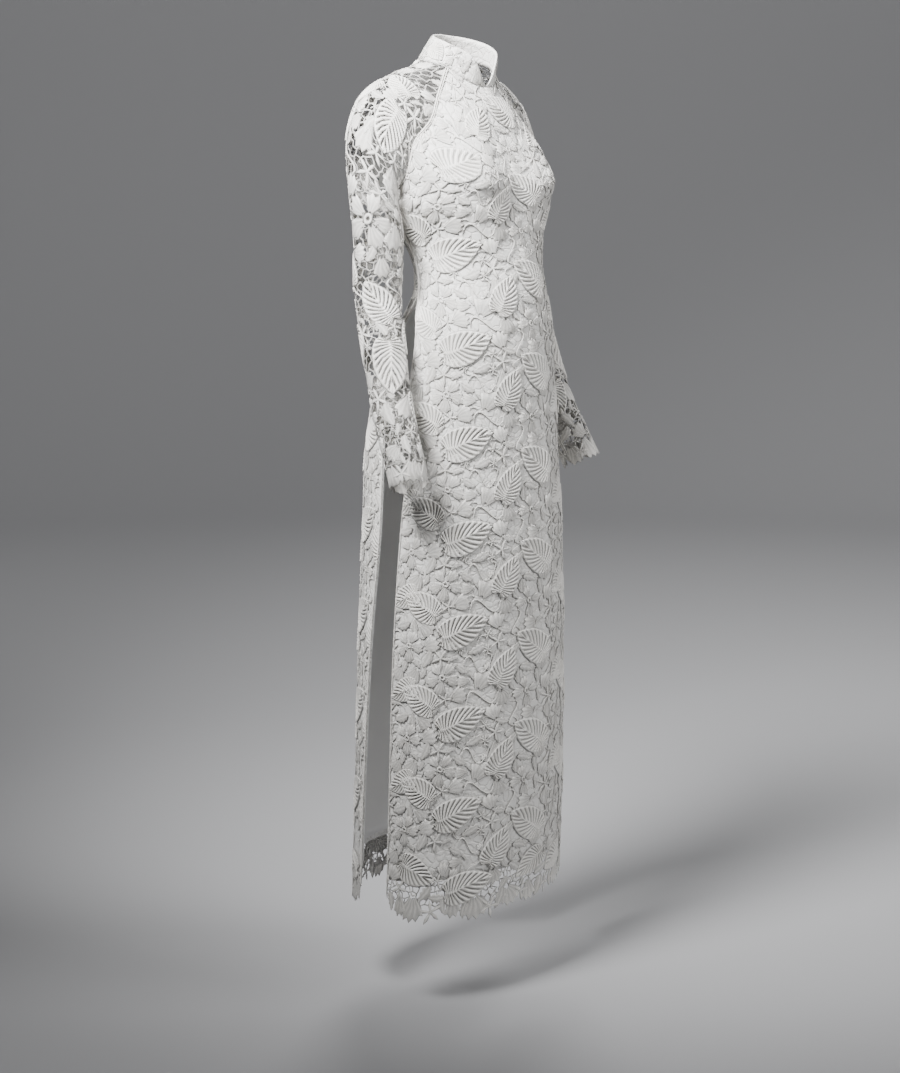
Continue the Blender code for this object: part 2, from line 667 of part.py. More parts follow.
def draw_sleeve(form, first, last):
    """Half a sleeve, from u = first to u = last: the raglan seam, the underarm and the top line bound it."""
    plan = Plan(form, 11 / YOKE_ROWS)
    rows = np.concatenate([
        np.arange(YOKE_STEPS + 1) / YOKE_STEPS,
        np.linspace(1, CUFF_ROW / YOKE_ROWS, SLEEVE_STEPS + 1)[1:],
    ])
    columns = np.linspace(first, last, SLEEVE_COLUMNS + 1)
    middle = (first + last) / 2

    def at_edge(u, v):
        inward = SEAM if u == 0 else seam_gap(v)
        return plan.xy(float(u), v) + (np.sign(middle - u) * inward * (u in (first, last)), 0)

    top = [at_edge(u, 0.0) for u in columns]
    near = [at_edge(first, v) for v in rows[1:]]
    far = [at_edge(last, v) for v in rows[1:]]
    across = np.linspace(0, 1, CUFF_PETALS * 4 + 1)
    drop = petals(CUFF_PETALS, CUFF_PETAL, across)
    cuff_y = np.interp(rows[-1], plan.v, plan.down)
    bottom = [at_edge(first + (last - first) * t, rows[-1]) + (0, d) for t, d in zip(across, drop)]
    outline = top + far[:-1] + bottom[::-1] + near[:-1][::-1]
    inner = [np.array([plan.xy(u, v) for v in rows[1:-1]]) for u in columns[1:-1]]
    drawing = Drawing(plan, outline, inner)
    for down in np.arange(SLEEVE_LEAF, cuff_y, REPEAT):
        drawing.lay_leaf((middle * plan.half_at(down), down), SLEEVE_LEAF_TURN if middle < 0 else -180 - SLEEVE_LEAF_TURN)
    for down in np.arange(SLEEVE_LEAF - REPEAT, cuff_y + CUFF_PETAL, REPEAT):
        for across, drop, length, width, turn in zip(*GAPS.values()):
            y = down + drop
            half = plan.half_at(y)
            if y > 0:
                centre = (middle * half + across * min(1.0, half / GAPS_HALF), y)
                drawing.cut_gap(ellipse(5, length, width, turn, centre))
    return drawing


def sleeves(lace):
    for side, form, outward in (("right", row_form, 1), ("left", left_form, -1)):
        for half, first, last in (("front", -1, 0), ("back", 0, 1)):
            drawing = draw_sleeve(form, first, last)
            normals = sleeve_normal(form, outward)
            wall(f"sleeve_{side}_{half}", lace, drawing, form, normals, outward, LACE_IN, LACE_OUT)


# The top of the stand collar by the angle from the middle of the front: as a full ring, and as it is cut
COLLAR_TOP = table(
    "row  full   cut",
    (0, 0.0210, -0.0230),
    (7, 0.0220, -0.0165),
    (14, 0.0235, -0.0060),
    (21, 0.0250, 0.0060),
    (30, 0.0270, 0.0170),
    (42, 0.0300, 0.0265),
    (60, 0.0350, 0.0345),
    (90, 0.0460, 0.0460),
    (130, 0.0560, 0.0560),
    (180, 0.0610, 0.0610),
)
COLLAR_HALF, COLLAR_MIDDLE = 0.0510, -0.019   # the ring of its top: half width, and how far its middle lies forward
COLLAR_ROWS = 2
COLLAR_LEAST = 0.04      # its front corners keep this share of the full ring's height


def neck_ring():
    """The neck seam from the middle of the front over the left side and the nape, with its outward normals."""
    halves = np.linspace(0, 1, PANEL_COLUMNS // 2 + 1)
    over = np.linspace(-1, 1, 2 * SLEEVE_COLUMNS + 1)
    runs = (
        (front_form, panel_normal(front_form, -1), halves),
        (left_form, sleeve_normal(left_form, -1), over),
        (back_form, panel_normal(back_form, 1), np.linspace(1, -1, PANEL_COLUMNS + 1)),
        (row_form, sleeve_normal(row_form, 1), over[::-1]),
        (front_form, panel_normal(front_form, -1), halves - 1),
    )
    points, normals = [], []
    for form, normal_at, u in runs:
        points.append(form(u, 0.0 * u)[:-1])
        normals.append(normal_at(u, 0.0 * u)[:-1])
    points.append(front_form(np.zeros(1), np.zeros(1)))
    normals.append(normals[0][:1])
    return np.concatenate(points), np.concatenate(normals)


def collar(lace):
    """The stand collar: it leans in at the nape, and its two halves part at the front in rounded corners."""
    ring, up = neck_ring()
    foot = ring + up * (LACE_OUT + GAP)
    foot[0, 0], foot[-1, 0] = GAP, -GAP
    turn = np.degrees(np.arctan2(foot[:, 0], -foot[:, 1]))
    angle = np.abs(turn)
    full = np.stack([
        COLLAR_HALF * np.sin(np.radians(turn)),
        COLLAR_MIDDLE - COLLAR_HALF * np.cos(np.radians(turn)),
        read(COLLAR_TOP, "full", angle),
    ], axis=-1)
    share = (read(COLLAR_TOP, "cut", angle) - foot[:, 2]) / (full[:, 2] - foot[:, 2])
    height = np.linspace(0, 1, COLLAR_ROWS + 1)[None, :, None] * np.clip(share, COLLAR_LEAST, 1)[:, None, None]
    outer = foot[:, None] + (full - foot)[:, None] * height
    around = np.gradient(outer, axis=0)
    inwards = unit(np.cross(around, (full - foot)[:, None] * np.ones_like(height)))
    inwards = unit(inwards * (1, 1, 0) + (0, 0, 1e-9))
    inwards *= -np.sign((inwards * (outer - (0, COLLAR_MIDDLE, 0))).sum(-1, keepdims=True))
    inner = outer + inwards * COLLAR
    count, rows = outer.shape[:2]

    def at(layer, i, j):
        return layer * count * rows + i * rows + j

    faces = []
    for i in range(count - 1):
        for j in range(rows - 1):
            faces.append((at(0, i, j), at(0, i + 1, j), at(0, i + 1, j + 1), at(0, i, j + 1)))
            faces.append((at(1, i, j), at(1, i, j + 1), at(1, i + 1, j + 1), at(1, i + 1, j)))
        faces.append((at(0, i, 0), at(1, i, 0), at(1, i + 1, 0), at(0, i + 1, 0)))
        top = rows - 1
        faces.append((at(0, i, top), at(0, i + 1, top), at(1, i + 1, top), at(1, i, top)))
    for j in range(rows - 1):
        faces.append((at(0, 0, j), at(0, 0, j + 1), at(1, 0, j + 1), at(1, 0, j)))
        end = count - 1
        faces.append((at(0, end, j), at(1, end, j), at(1, end, j + 1), at(0, end, j + 1)))
    corners = np.concatenate([outer.reshape(-1, 3), inner.reshape(-1, 3)])
    return solid("collar", lace, corners, faces)


def main():
    for old in list(bpy.data.objects):
        bpy.data.objects.remove(old)
    lace, lining = cloth("lace"), cloth("lining")
    front_and_back(lace, lining)
    sleeves(lace)
    collar(lace)


main()
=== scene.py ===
"""Lace ao dai tunic, dressed piece by piece in the order it is sewn: satin lining, lace panels, sleeves, collar."""
import math

import bmesh
import bpy
import numpy as np
from mathutils import Matrix, Vector


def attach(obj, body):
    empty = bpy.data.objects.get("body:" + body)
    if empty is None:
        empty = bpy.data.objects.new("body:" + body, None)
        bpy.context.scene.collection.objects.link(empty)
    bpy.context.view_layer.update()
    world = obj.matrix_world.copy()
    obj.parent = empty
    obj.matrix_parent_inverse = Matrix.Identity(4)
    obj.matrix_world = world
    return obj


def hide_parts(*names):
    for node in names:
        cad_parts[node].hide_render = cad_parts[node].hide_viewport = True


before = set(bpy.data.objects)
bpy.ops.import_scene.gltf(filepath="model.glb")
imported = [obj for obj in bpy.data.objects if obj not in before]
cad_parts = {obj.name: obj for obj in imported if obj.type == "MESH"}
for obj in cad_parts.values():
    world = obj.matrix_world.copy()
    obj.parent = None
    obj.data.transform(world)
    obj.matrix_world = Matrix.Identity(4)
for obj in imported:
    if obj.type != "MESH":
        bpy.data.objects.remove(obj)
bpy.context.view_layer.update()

# ---------------------------------------------------------------- satin lining
# Two panels of smooth satin cut to the same pattern as the lace over them, hemmed short of the cut-out lace edge.
# They are darted at the bust and the waist, and closed in the side seams down to the slits.


def table(columns, *rows):
    """A table with one named column for each word."""
    values = np.array(rows, float)
    return {name: values[:, i] for i, name in enumerate(columns.split())}


# The sleeve and its raglan yoke, from neck to cuff, for the right arm. Each row is an arc over the arm: it passes the
# top line, turns by "reach" degrees to either side of it, and its two ends lie "side" before and behind "under".
SLEEVE = table(
    "row top_x   top_y  top_z  under_x under_y under_z side_x side_y side_z reach",
    (0, -0.0625, 0.002, 0.014, -0.0535, 0.002, 0.0115, 0.0017, 0.0346, 0.0075, 60),
    (1, -0.1040, 0.022, -0.001, -0.0850, 0.014, -0.0350, 0.0000, 0.0543, 0.0066, 65),
    (2, -0.1380, 0.031, -0.015, -0.1125, 0.0195, -0.0775, -0.0026, 0.0644, 0.0000, 75),
    (3, -0.1720, 0.034, -0.040, -0.1400, 0.022, -0.1150, -0.0010, 0.0560, -0.0030, 95),
    (4, -0.2040, 0.029, -0.091, -0.1490, 0.0145, -0.1630, -0.0010, 0.0450, -0.0020, 120),
    (5, -0.2150, 0.018, -0.165, -0.1490, 0.012, -0.2050, 0.0000, 0.0400, 0.0000, 180),
    (6, -0.2130, 0.010, -0.262, -0.1400, 0.008, -0.2680, 0.0000, 0.0390, 0.0000, 180),
    (7, -0.2130, 0.009, -0.350, -0.1440, 0.007, -0.3560, 0.0000, 0.0360, -0.0050, 180),
    (8, -0.2280, -0.0205, -0.434, -0.1640, -0.0225, -0.4460, 0.0000, 0.0325, -0.0110, 180),
    (9, -0.2430, -0.052, -0.520, -0.1840, -0.054, -0.5320, 0.0000, 0.0310, -0.0120, 180),
    (10, -0.2500, -0.083, -0.590, -0.1950, -0.085, -0.6020, 0.0000, 0.0310, -0.0120, 180),
    (11, -0.2510, -0.093, -0.628, -0.1970, -0.095, -0.6400, 0.0000, 0.0295, -0.0110, 180),
)
# The body, from the armpit to the hem: half its width, its depth before and behind its middle, where that middle lies,
# how far round from the middle of the front lie the side seam and, below it, the edges of the front and of the back,
# and how far the bust darts push the cups out.
BODY = table(
    "row    half   front  back   mid     seam front_edge back_edge cup",
    (-0.205, 0.1500, 0.125, 0.091, 0.000, 97, 97, 97, 0.018),
    (-0.250, 0.1270, 0.111, 0.087, -0.020, 104, 104, 104, 0.007),
    (-0.300, 0.1150, 0.098, 0.086, -0.041, 110, 110, 110, 0.000),
    (-0.340, 0.1170, 0.096, 0.091, -0.050, 112, 112, 112, 0.000),
    (-0.400, 0.1360, 0.113, 0.114, -0.040, 112, 94, 114, 0.000),
    (-0.480, 0.1530, 0.130, 0.135, -0.024, 112, 85, 108, 0.000),
    (-0.570, 0.1670, 0.136, 0.148, -0.018, 112, 80, 101, 0.000),
    (-0.720, 0.1800, 0.130, 0.160, -0.025, 112, 85, 102, 0.000),
    (-0.890, 0.1900, 0.120, 0.170, -0.029, 112, 89, 108, 0.000),
    (-1.150, 0.1990, 0.112, 0.176, -0.028, 112, 90, 112, 0.000),
    (-1.420, 0.2060, 0.096, 0.180, -0.024, 112, 90, 112, 0.000),
)
# The middle line of the front and of the back, from the neck to the armpit, row by row with the raglan seams.
CHEST = table(
    "row mid_y   mid_z  span cup",
    (0, -0.0623, -0.025, 63, 0.000),
    (1, -0.0790, -0.060, 66, 0.000),
    (2, -0.0920, -0.095, 70, 0.004),
    (3, -0.1070, -0.130, 78, 0.014),
    (4, -0.1190, -0.168, 84, 0.029),
    (5, -0.1250, -0.205, 97, 0.018),
)
UPPER_BACK = table(
    "row mid_y  mid_z  span",
    (0, 0.0610, 0.018, 58),
    (1, 0.0800, -0.030, 62),
    (2, 0.0930, -0.080, 68),
    (3, 0.0980, -0.125, 76),
    (4, 0.0970, -0.165, 81),
    (5, 0.0920, -0.205, 83),
)
YOKE_ROWS = 5
ARMPIT = -0.205
SLIT_TOP = -0.340
EASE = 0.090
CUP_ANGLE, CUP_SPREAD = 37.0, 24.0


def read(rows, column, at):
    """A smooth curve through one column of a table, read at these rows."""
    x, y = rows["row"], rows[column]
    if x[0] > x[-1]:
        x, y = x[::-1], y[::-1]
    slope = np.gradient(y, x)
    at = np.asarray(at, float)
    i = np.clip(np.searchsorted(x, at) - 1, 0, len(x) - 2)
    step = x[i + 1] - x[i]
    t = np.clip((at - x[i]) / step, 0, 1)
    return ((2 * t**3 - 3 * t**2 + 1) * y[i] + (t**3 - 2 * t**2 + t) * step * slope[i]
            + (3 * t**2 - 2 * t**3) * y[i + 1] + (t**3 - t**2) * step * slope[i + 1])


def point(rows, name, at):
    """A point of a table that has the columns NAME_x, NAME_y and NAME_z."""
    return np.stack([read(rows, f"{name}_{axis}", at) for axis in "xyz"], axis=-1)


def sleeve_form(u, row):
    """The right sleeve: u runs from -1, the front seam, over the top line at 0 to 1, the back seam."""
    u, row = np.broadcast_arrays(np.asarray(u, float), np.asarray(row, float))
    top, under, side = (point(SLEEVE, name, row) for name in ("top", "under", "side"))
    reach = np.radians(np.minimum(read(SLEEVE, "reach", row), 180))[..., None]
    centre = (under - top * np.cos(reach)) / (1 - np.cos(reach))
    turn = reach * u[..., None]
    return centre + (top - centre) * np.cos(turn) + side * np.sin(turn)


def yoke_form(u, row, middle, side):
    """Front, side -1, or back, side 1, above the armpits: an arc from one raglan seam over the middle to the other."""
    edge = sleeve_form(side, row)
    mid_y, mid_z = read(middle, "mid_y", row), read(middle, "mid_z", row)
    span = np.radians(read(middle, "span", row))
    turn = span * u
    share = (1 - np.cos(turn)) / (1 - np.cos(span))
    x = -edge[..., 0] * np.sin(turn) / np.sin(span)
    y = mid_y + (edge[..., 1] - mid_y) * share
    z = mid_z + (edge[..., 2] - mid_z) * share
    if side < 0:
        y = y - cup(np.degrees(turn), read(middle, "cup", row))
    return np.stack([x, y, z], axis=-1)


def cup(angle, depth):
    return depth * np.exp(-(((np.abs(angle) - CUP_ANGLE) / CUP_SPREAD) ** 2))


def body_form(turn, z):
    """The body below the armpits: turn is the angle in degrees from the middle of the front."""
    half, front, back, mid = (read(BODY, name, z) for name in ("half", "front", "back", "mid"))
    angle = np.radians(turn)
    depth = np.where(np.cos(angle) > 0, front, back)
    y = mid - depth * np.cos(angle) - cup(turn, read(BODY, "cup", z)) * (np.cos(angle) > 0)
    return np.stack([half * np.sin(angle), y, z + 0 * angle], axis=-1)


def edge_angle(column, z):
    """The side seam's angle down to the top of the slit, and below it that of the front's or the back's edge."""
    return np.where(z >= SLIT_TOP, read(BODY, "seam", z), read(BODY, column, z))


def rows_of(v):
    """v is 0 at the neck, 1 at the armpit and goes on downwards in metres: its yoke row and its height."""
    return np.clip(v, 0, 1) * YOKE_ROWS, np.minimum(ARMPIT, ARMPIT - (v - 1))


def fade(z):
    """1 at the armpit, 0 from EASE below it: it eases the yoke's sections into the body's."""
    s = np.clip((ARMPIT - z) / EASE, 0, 1)
    return ((1 - s) ** 2 * (1 + 2 * s))[..., None]


def at_height(z):
    """The v of a height below the armpit."""
    return 1 + ARMPIT - z


def outward_of(form, u, v, turn):
    """Unit normals of a form, to its outer side, taken just off its edges and off the armpit, where sections change."""
    small, off_edge, near_armpit, past_armpit = 1e-4, 3e-4, 2e-3, 3e-3
    u = np.clip(u, -0.998, 0.998)
    v = np.maximum(np.where(np.abs(v - 1) < near_armpit, v + past_armpit, v), off_edge)
    across = np.cross(form(u + small, v) - form(u - small, v), form(u, v + small) - form(u, v - small))
    return turn * across / np.linalg.norm(across, axis=-1, keepdims=True)


def cut_form(u, v, middle, side, turn_at):
    """A panel without its folds: the yoke down to the armpit, eased into the body below it."""
    u, v = np.broadcast_arrays(np.asarray(u, float), np.asarray(v, float))
    row, z = rows_of(v)
    step = yoke_form(u, YOKE_ROWS, middle, side) - body_form(turn_at(u, ARMPIT), ARMPIT)
    body = body_form(turn_at(u, z), z) + step * fade(z)
    return np.where((v < 1)[..., None], yoke_form(u, row, middle, side), body)


def front_cut(u, v):
    return cut_form(u, v, CHEST, -1, lambda u, z: u * edge_angle("front_edge", z))


def back_cut(u, v):
    return cut_form(u, v, UPPER_BACK, 1, lambda u, z: 180 - u * (180 - edge_angle("back_edge", z)))


# The soft folds in which the flaps hang: how far each stands out, its share across, how that leans with the height,
# its width, the height where it begins and the height over which it grows.
FRONT_FOLDS = table(
    "out     at    lean  width  top   over",
    (0.0045, 0.17, 0.05, 0.055, -0.42, 0.20),
    (0.0030, -0.62, 0, 0.08, -0.60, 0.30),
    (-0.0030, -0.36, 0, 0.10, -0.62, 0.30),
    (0.0035, 0.66, 0, 0.09, -0.60, 0.30),
)
BACK_FOLDS = table(
    "out     at   lean width top   over",
    (0.0045, 0.10, 0, 0.07, -0.55, 0.25),
    (0.0040, -0.48, 0, 0.08, -0.60, 0.30),
    (0.0035, 0.60, 0, 0.08, -0.60, 0.30),
)
DART_DEPTH = 0.0022
FLAT_EDGE = 0.12        # folds fade out over this share of the panel towards its edges


def bump_of(x, middle, width):
    return np.exp(-(((x - middle) / width) ** 2))


def hung(cut, u, v, outward, dart, folds):
    """A panel with its folds and its two waist darts, given by share across, width, height and half their length."""
    u, v = np.broadcast_arrays(np.asarray(u, float), np.asarray(v, float))
    place = cut(u, v)
    z = place[..., 2]
    share, narrow, middle, reach = dart
    rise = -DART_DEPTH * bump_of(np.abs(u), share, narrow) * bump_of(z, middle, reach)
    for out, at, lean, width, top, over in zip(*folds.values()):
        rise = rise + out * bump_of(u, at - lean * (z + 0.5), width) * np.clip((top - z) / over, 0, 1)
    edge = np.clip((1 - np.abs(u)) / FLAT_EDGE, 0, 1)
    return place + outward_of(cut, u, v, outward) * (rise * edge)[..., None]


def front_form(u, v):
    return hung(front_cut, u, v, -1, (0.30, 0.022, -0.30, 0.10), FRONT_FOLDS)


def back_form(u, v):
    return hung(back_cut, u, v, 1, (0.38, 0.03, -0.33, 0.09), BACK_FOLDS)


class Plan:
    """A piece's flat plan in metres: x across from u = 0, y down from the neck."""

    def __init__(self, form, v_end):
        self.v = np.linspace(0, v_end, 300)
        u = np.linspace(-0.9999, 0.9999, 41)
        grid = form(u[None, :], self.v[:, None])
        self.half = np.linalg.norm(np.diff(grid, axis=1), axis=-1).sum(axis=1) / 2
        steps = np.linalg.norm(np.diff(grid, axis=0), axis=-1).mean(axis=1)
        self.down = np.concatenate([[0], np.cumsum(steps)])

    def uv(self, points):
        points = np.asarray(points, float)
        v = np.interp(points[..., 1], self.down, self.v)
        return points[..., 0] / np.interp(v, self.v, self.half), v

    def xy(self, u, v):
        return np.stack([u * np.interp(v, self.v, self.half), np.interp(v, self.v, self.down) + 0 * u], axis=-1)

    def half_at(self, y):
        return np.interp(np.interp(y, self.down, self.v), self.v, self.half)


def grid_of(columns, rows):
    flat = bmesh.new()
    bmesh.ops.create_grid(flat, x_segments=columns, y_segments=rows, size=1)
    return flat


def spots_of(flat):
    return np.array([vert.co[:] for vert in flat.verts])


def mesh_of(name, flat):
    mesh = bpy.data.meshes.new(name)
    flat.to_mesh(mesh)
    flat.free()
    return mesh


def put(name, data):
    """Puts a mesh, a lamp or a camera into the scene."""
    thing = bpy.data.objects.new(name, data)
    bpy.context.scene.collection.objects.link(thing)
    return thing


def carry(name, flat, plan, form, outward, lift, material):
    """Carries a mesh drawn flat, x across and y down its plan, z its height off the cloth, onto the form."""
    if outward < 0:
        bmesh.ops.reverse_faces(flat, faces=flat.faces)
    spots = spots_of(flat)
    mesh = mesh_of(name, flat)
    u, v = plan.uv(spots[:, :2])
    place = form(u, v) + outward_of(form, u, v, outward) * (lift + spots[:, 2:3])
    mesh.vertices.foreach_set("co", place.ravel())
    mesh.materials.append(material)
    mesh.shade_smooth()
    mesh.update()
    piece = put(name, mesh)
    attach(piece, "root")
    return piece


def thicken(piece, thickness, offset=0):
    cloth = piece.modifiers.new("cloth", "SOLIDIFY")
    cloth.thickness, cloth.offset = thickness, offset


def chart(flat, scale=1.0):
    """Writes a flat mesh's own x and y as its UV map, and its height in units of 2 mm as a second one."""
    thread, rise = flat.loops.layers.uv.new("thread"), flat.loops.layers.uv.new("rise")
    for face in flat.faces:
        for loop in face.loops:
            loop[thread].uv = loop.vert.co.xy * scale
            # The lace material reads this height to paint shade into the hollows.
            loop[rise].uv = (loop.vert.co.z * 500, 0)


def shell_of(plan, columns, rows, foot):
    """A flat grid over a whole panel, from its top edge down to v = foot."""
    flat = grid_of(columns, rows)
    spots = spots_of(flat)
    just_inside = 0.9995
    xy = plan.xy(spots[:, 0] * just_inside, foot * (spots[:, 1] + 1) / 2)
    for vert, (x, y) in zip(flat.verts, xy):
        vert.co = (x, y, 0)
    chart(flat)
    return flat


def cut_of(plan, length):
    """How wide a panel is cut at the most, and its area down to this length."""
    inside = plan.down <= length
    return 2 * plan.half.max(), float(np.trapz(2 * plan.half[inside], plan.down[inside]))


def fabric(name):
    """A new material, a function that fills in a node and one that adds a node to the material and fills it in.

    Names in small letters are a node's settings, the others its sockets, with _ for a space, and values without a name
    fill its first sockets. An output is linked, anything else is set."""
    material = bpy.data.materials.new(name)
    material.use_nodes = True
    tree = material.node_tree

    def fill(node, *first, **named):
        for setting in filter(str.islower, named):
            setattr(node, setting, named[setting])
        sockets = [(node.inputs[key.replace("_", " ")], named[key]) for key in named if not key.islower()]
        for socket, value in [*zip(node.inputs, first), *sockets]:
            if isinstance(value, bpy.types.NodeSocket):
                tree.links.new(value, socket)
            else:
                socket.default_value = value
        return node

    def add(kind, *first, **named):
        return fill(tree.nodes.new(f"ShaderNode{kind}"), *first, **named)

    return material, lambda **named: fill(tree.nodes["Principled BSDF"], **named), add


def blotches(add, scale, detail, ends, dark, light):
    """A colour that drifts between two tones over the cloth."""
    drift = add("TexNoise", Scale=scale, Detail=detail, Vector=add("TexCoord").outputs["Object"])
    shade = add("ValToRGB", Fac=drift.outputs["Fac"])
    for stop, place, colour in zip(shade.color_ramp.elements, ends, (dark, light)):
        stop.position, stop.color = place, (*colour, 1)
    return shade.outputs["Color"]


def satin():
    """White satin with the fine lines of its weave."""
    material, shader, add = fabric("white satin")
    weave = add("TexWave", bands_direction="Y", Scale=420, Distortion=1.2, Detail=2,
                Vector=add("UVMap", uv_map="thread").outputs["UV"])
    relief = add("Bump", Strength=0.12, Distance=0.0002, Height=weave.outputs["Fac"])
    shader(Base_Color=blotches(add, 6, 3, (0.3, 0.7), (0.78, 0.775, 0.765), (0.85, 0.845, 0.835)),
           Normal=relief.outputs["Normal"], Roughness=0.36, Sheen_Weight=0.15)
    return material


lining_satin = satin()
LINING_HEM = -1.262
LINING_LIFT, SATIN_THICK = -0.0024, 0.0006
PANELS = (("front", front_form, -1), ("back", back_form, 1))
plans = {name: Plan(form, at_height(-1.40)) for name, form, outward in PANELS}
for name, form, outward in PANELS:
    plan = plans[name]
    flat = shell_of(plan, 56, 150, at_height(LINING_HEM))
    lining = carry(f"satin_{name}", flat, plan, form, outward, LINING_LIFT, lining_satin)
    thicken(lining, SATIN_THICK)
    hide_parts(f"lining_{name}")
    length = float(np.interp(at_height(LINING_HEM), plan.v, plan.down))

# ---------------------------------------------------------------- lace panels
# Corded lace over the lining, front and back: large ribbed leaves, open flowers, stars and small leaves, joined
# edge to edge over a ground of thread bars. Its lower edge is cut out round the motifs.


def draw(columns, rows, move, gap=None):
    """A motif drawn on a grid, to be sewn down many times: move gives x, y and the height in millimetres of column i
    and row j, and gap says which faces are left out."""
    flat = grid_of(columns, rows)
    if gap:
        middles = {face: face.calc_center_median() for face in flat.faces}
        lost = [face for face, at in middles.items() if gap(int((at.x + 1) * columns / 2), int((at.y + 1) * rows / 2))]
        bmesh.ops.delete(flat, geom=lost, context="FACES")
    spots = spots_of(flat)
    i, j = (np.rint((spots[:, k] + 1) * count / 2).astype(int) for k, count in ((0, columns), (1, rows)))
    for vert, x, y, z in zip(flat.verts, *move(i, j)):
        vert.co = (x, y, z * 0.001)
    chart(flat)
    bmesh.ops.remove_doubles(flat, verts=flat.verts, dist=1e-5)
    return mesh_of("motif", flat)


def ribbed_leaf(gap=None):
    """A heart-shaped leaf: twelve satin-stitched ribs a side that sweep to the tip, a midrib and a corded rim."""
    ribs = 12
    # The upper half of its outline, from the stalk round the lobe to the tip, and where its ribs leave the midrib
    share = (0, 0.08, 0.18, 0.30, 0.42, 0.55, 0.68, 0.82, 0.92, 1)
    along = (-0.43, -0.49, -0.46, -0.35, -0.20, 0.00, 0.19, 0.36, 0.45, 0.53)
    aside = (0.03, 0.11, 0.205, 0.282, 0.318, 0.312, 0.255, 0.152, 0.076, 0)
    leave = (-0.42, -0.415, -0.40, -0.36, -0.31, -0.23, -0.13, 0.04, 0.22, 0.50)
    # From rim over midrib to rim: how far out, and the heights along a rib and along the hollow beside it
    reach = np.array([-1.05, -0.97, -0.87, -0.50, -0.09, 0, 0.09, 0.50, 0.87, 0.97, 1.05])
    rib = np.array([-0.5, 1.7, 1.9, 2.1, 1.7, 2.1, 1.7, 2.1, 1.9, 1.7, -0.5])
    hollow = np.array([-0.5, 1.5, 0.1, 0.0, 0.1, 1.8, 0.1, 0.0, 0.1, 1.5, -0.5])

    def move(i, j):
        s = (i // 4 + np.array([0, 0.30, 0.46, 0.84])[i % 4]) / ribs
        t = reach[j]
        root = np.interp(s, share, leave)
        x = root + (np.interp(s, share, along) - root) * np.abs(t) ** 1.25
        y = np.sign(t) * np.interp(s, share, aside) * np.abs(t) ** 0.88 + 0.035 * np.sin(np.pi * s)
        return x, y, np.where(i % 4 > 1, rib[j], hollow[j])

    return draw(4 * ribs, 10, move, gap)


def toothed(width, teeth, base, curve=0.0):
    """A flat petal with a toothed edge, a cord along that edge and veins that run out into the teeth."""

    def move(i, j):
        q = i / teeth - 1
        tooth = i % 2 == 1
        edge = np.sqrt(np.clip(1 - 0.75 * q * q, 0, 1)) * np.where(tooth, 1.05, 0.88)
        out = np.array([base, 0.5, 0.955, 1.0])[j] * edge
        x = out - 0.5 - 0.10 * (1 - np.cos(1.15 * q))
        y = width * (0.30 + 0.70 * out) * q * (0.25 + 0.75 * np.sin(np.clip(out, 0, 1) * np.pi * 0.62)) * 0.62
        z = np.array([0.7, 0.8, 1.35, -0.5])[j] + np.where(tooth, 0.50, -0.25) * (j < 3)
        return x, y + curve * x * x, np.where((i == 0) | (i == 2 * teeth), -0.4, z)

    return draw(2 * teeth, 3, move)


def small_leaf(teeth, width, bend):
    """A slender leaf with a notched edge and a raised midrib, bent to one side."""
    reach = np.array([-1.08, -0.98, -0.45, 0, 0.45, 0.98, 1.08])
    height = np.array([-0.5, 1.15, 0.60, 1.45, 0.60, 1.15, -0.5])

    def move(i, j):
        s, t = i / (2 * teeth), reach[j]
        half = width / 2 * np.sin(np.pi * s**0.8) ** 0.8 * np.where(i % 2 == 1, 1.20, 0.76)
        x = s - 0.5 + 0.10 * np.abs(t) * (0.5 - s)
        return x, half * t + bend * (x * x - 0.1), height[j]

    return draw(2 * teeth, 6, move)


def star(petals, waist):
    """Slender pointed petals round a knot, each with a ridge."""
    outline, turn = np.array([0.07, waist, 0.5, waist]), np.array([-0.5, -0.19, 0, 0.19])

    def move(i, j):
        i = i % (4 * petals)
        petal, part = i // 4, i % 4
        angle = 2 * np.pi / petals * (petal + turn[part]) + 0.25 * np.sin(2.2 * petal) / petals
        radius = outline[part] * np.array([0, 0.45, 0.97, 1.08])[j] * (1 + 0.10 * np.sin(1.7 * petal))
        z = np.array([1.5, 0.9, 0.5, -0.5])[j] + np.array([-0.3, 0.2, 0.8, 0.2])[part] * (j > 0) * (j < 3)
        return radius * np.cos(angle), radius * np.sin(angle), z

    return draw(4 * petals, 3, move)


def eyelet():
    """The oval ring of cord in the middle of a flower."""

    def move(i, j):
        angle, radius = np.pi * i / 6, np.array([0.20, 0.30, 0.40, 0.50])[j]
        return radius * np.cos(angle), 0.72 * radius * np.sin(angle), np.array([0.2, 1.9, 1.9, 0.2])[j]

    return draw(12, 3, move)


def cord(turn, steps, width, back=0.0):
    """A raised cord as long as its chord is 1: it bends through part of a ring, and with back it bends back again."""

    def move(i, j):
        s, side = 2 * i / steps - 1, 2 * j / 3 - 1
        bow = math.tan(math.radians(turn) / 4) * (1 - s * s) / 2 * (1 - back + back * 1.9 * s)
        end = np.clip((1 - np.abs(s)) * 4, 0.25, 1)
        return s / 2, bow + side * width / 2 * end, np.where(np.abs(side) < 0.5, 1.6, -0.4)

    return draw(steps, 3, move)


def add_to(flat, mesh, x, y, turn, size, lift, tall=1):
    """Adds a motif's mesh to a flat one at this place, turn and size, lifted by so many millimetres."""
    before = len(flat.verts)
    flat.from_mesh(mesh)
    flat.verts.ensure_lookup_table()
    place = Matrix.Translation((x, y, lift * 0.001)) @ Matrix.Rotation(math.radians(turn), 4, "Z")
    bmesh.ops.transform(flat, matrix=place @ Matrix.Diagonal((size, size, tall, 1)), verts=flat.verts[before:])


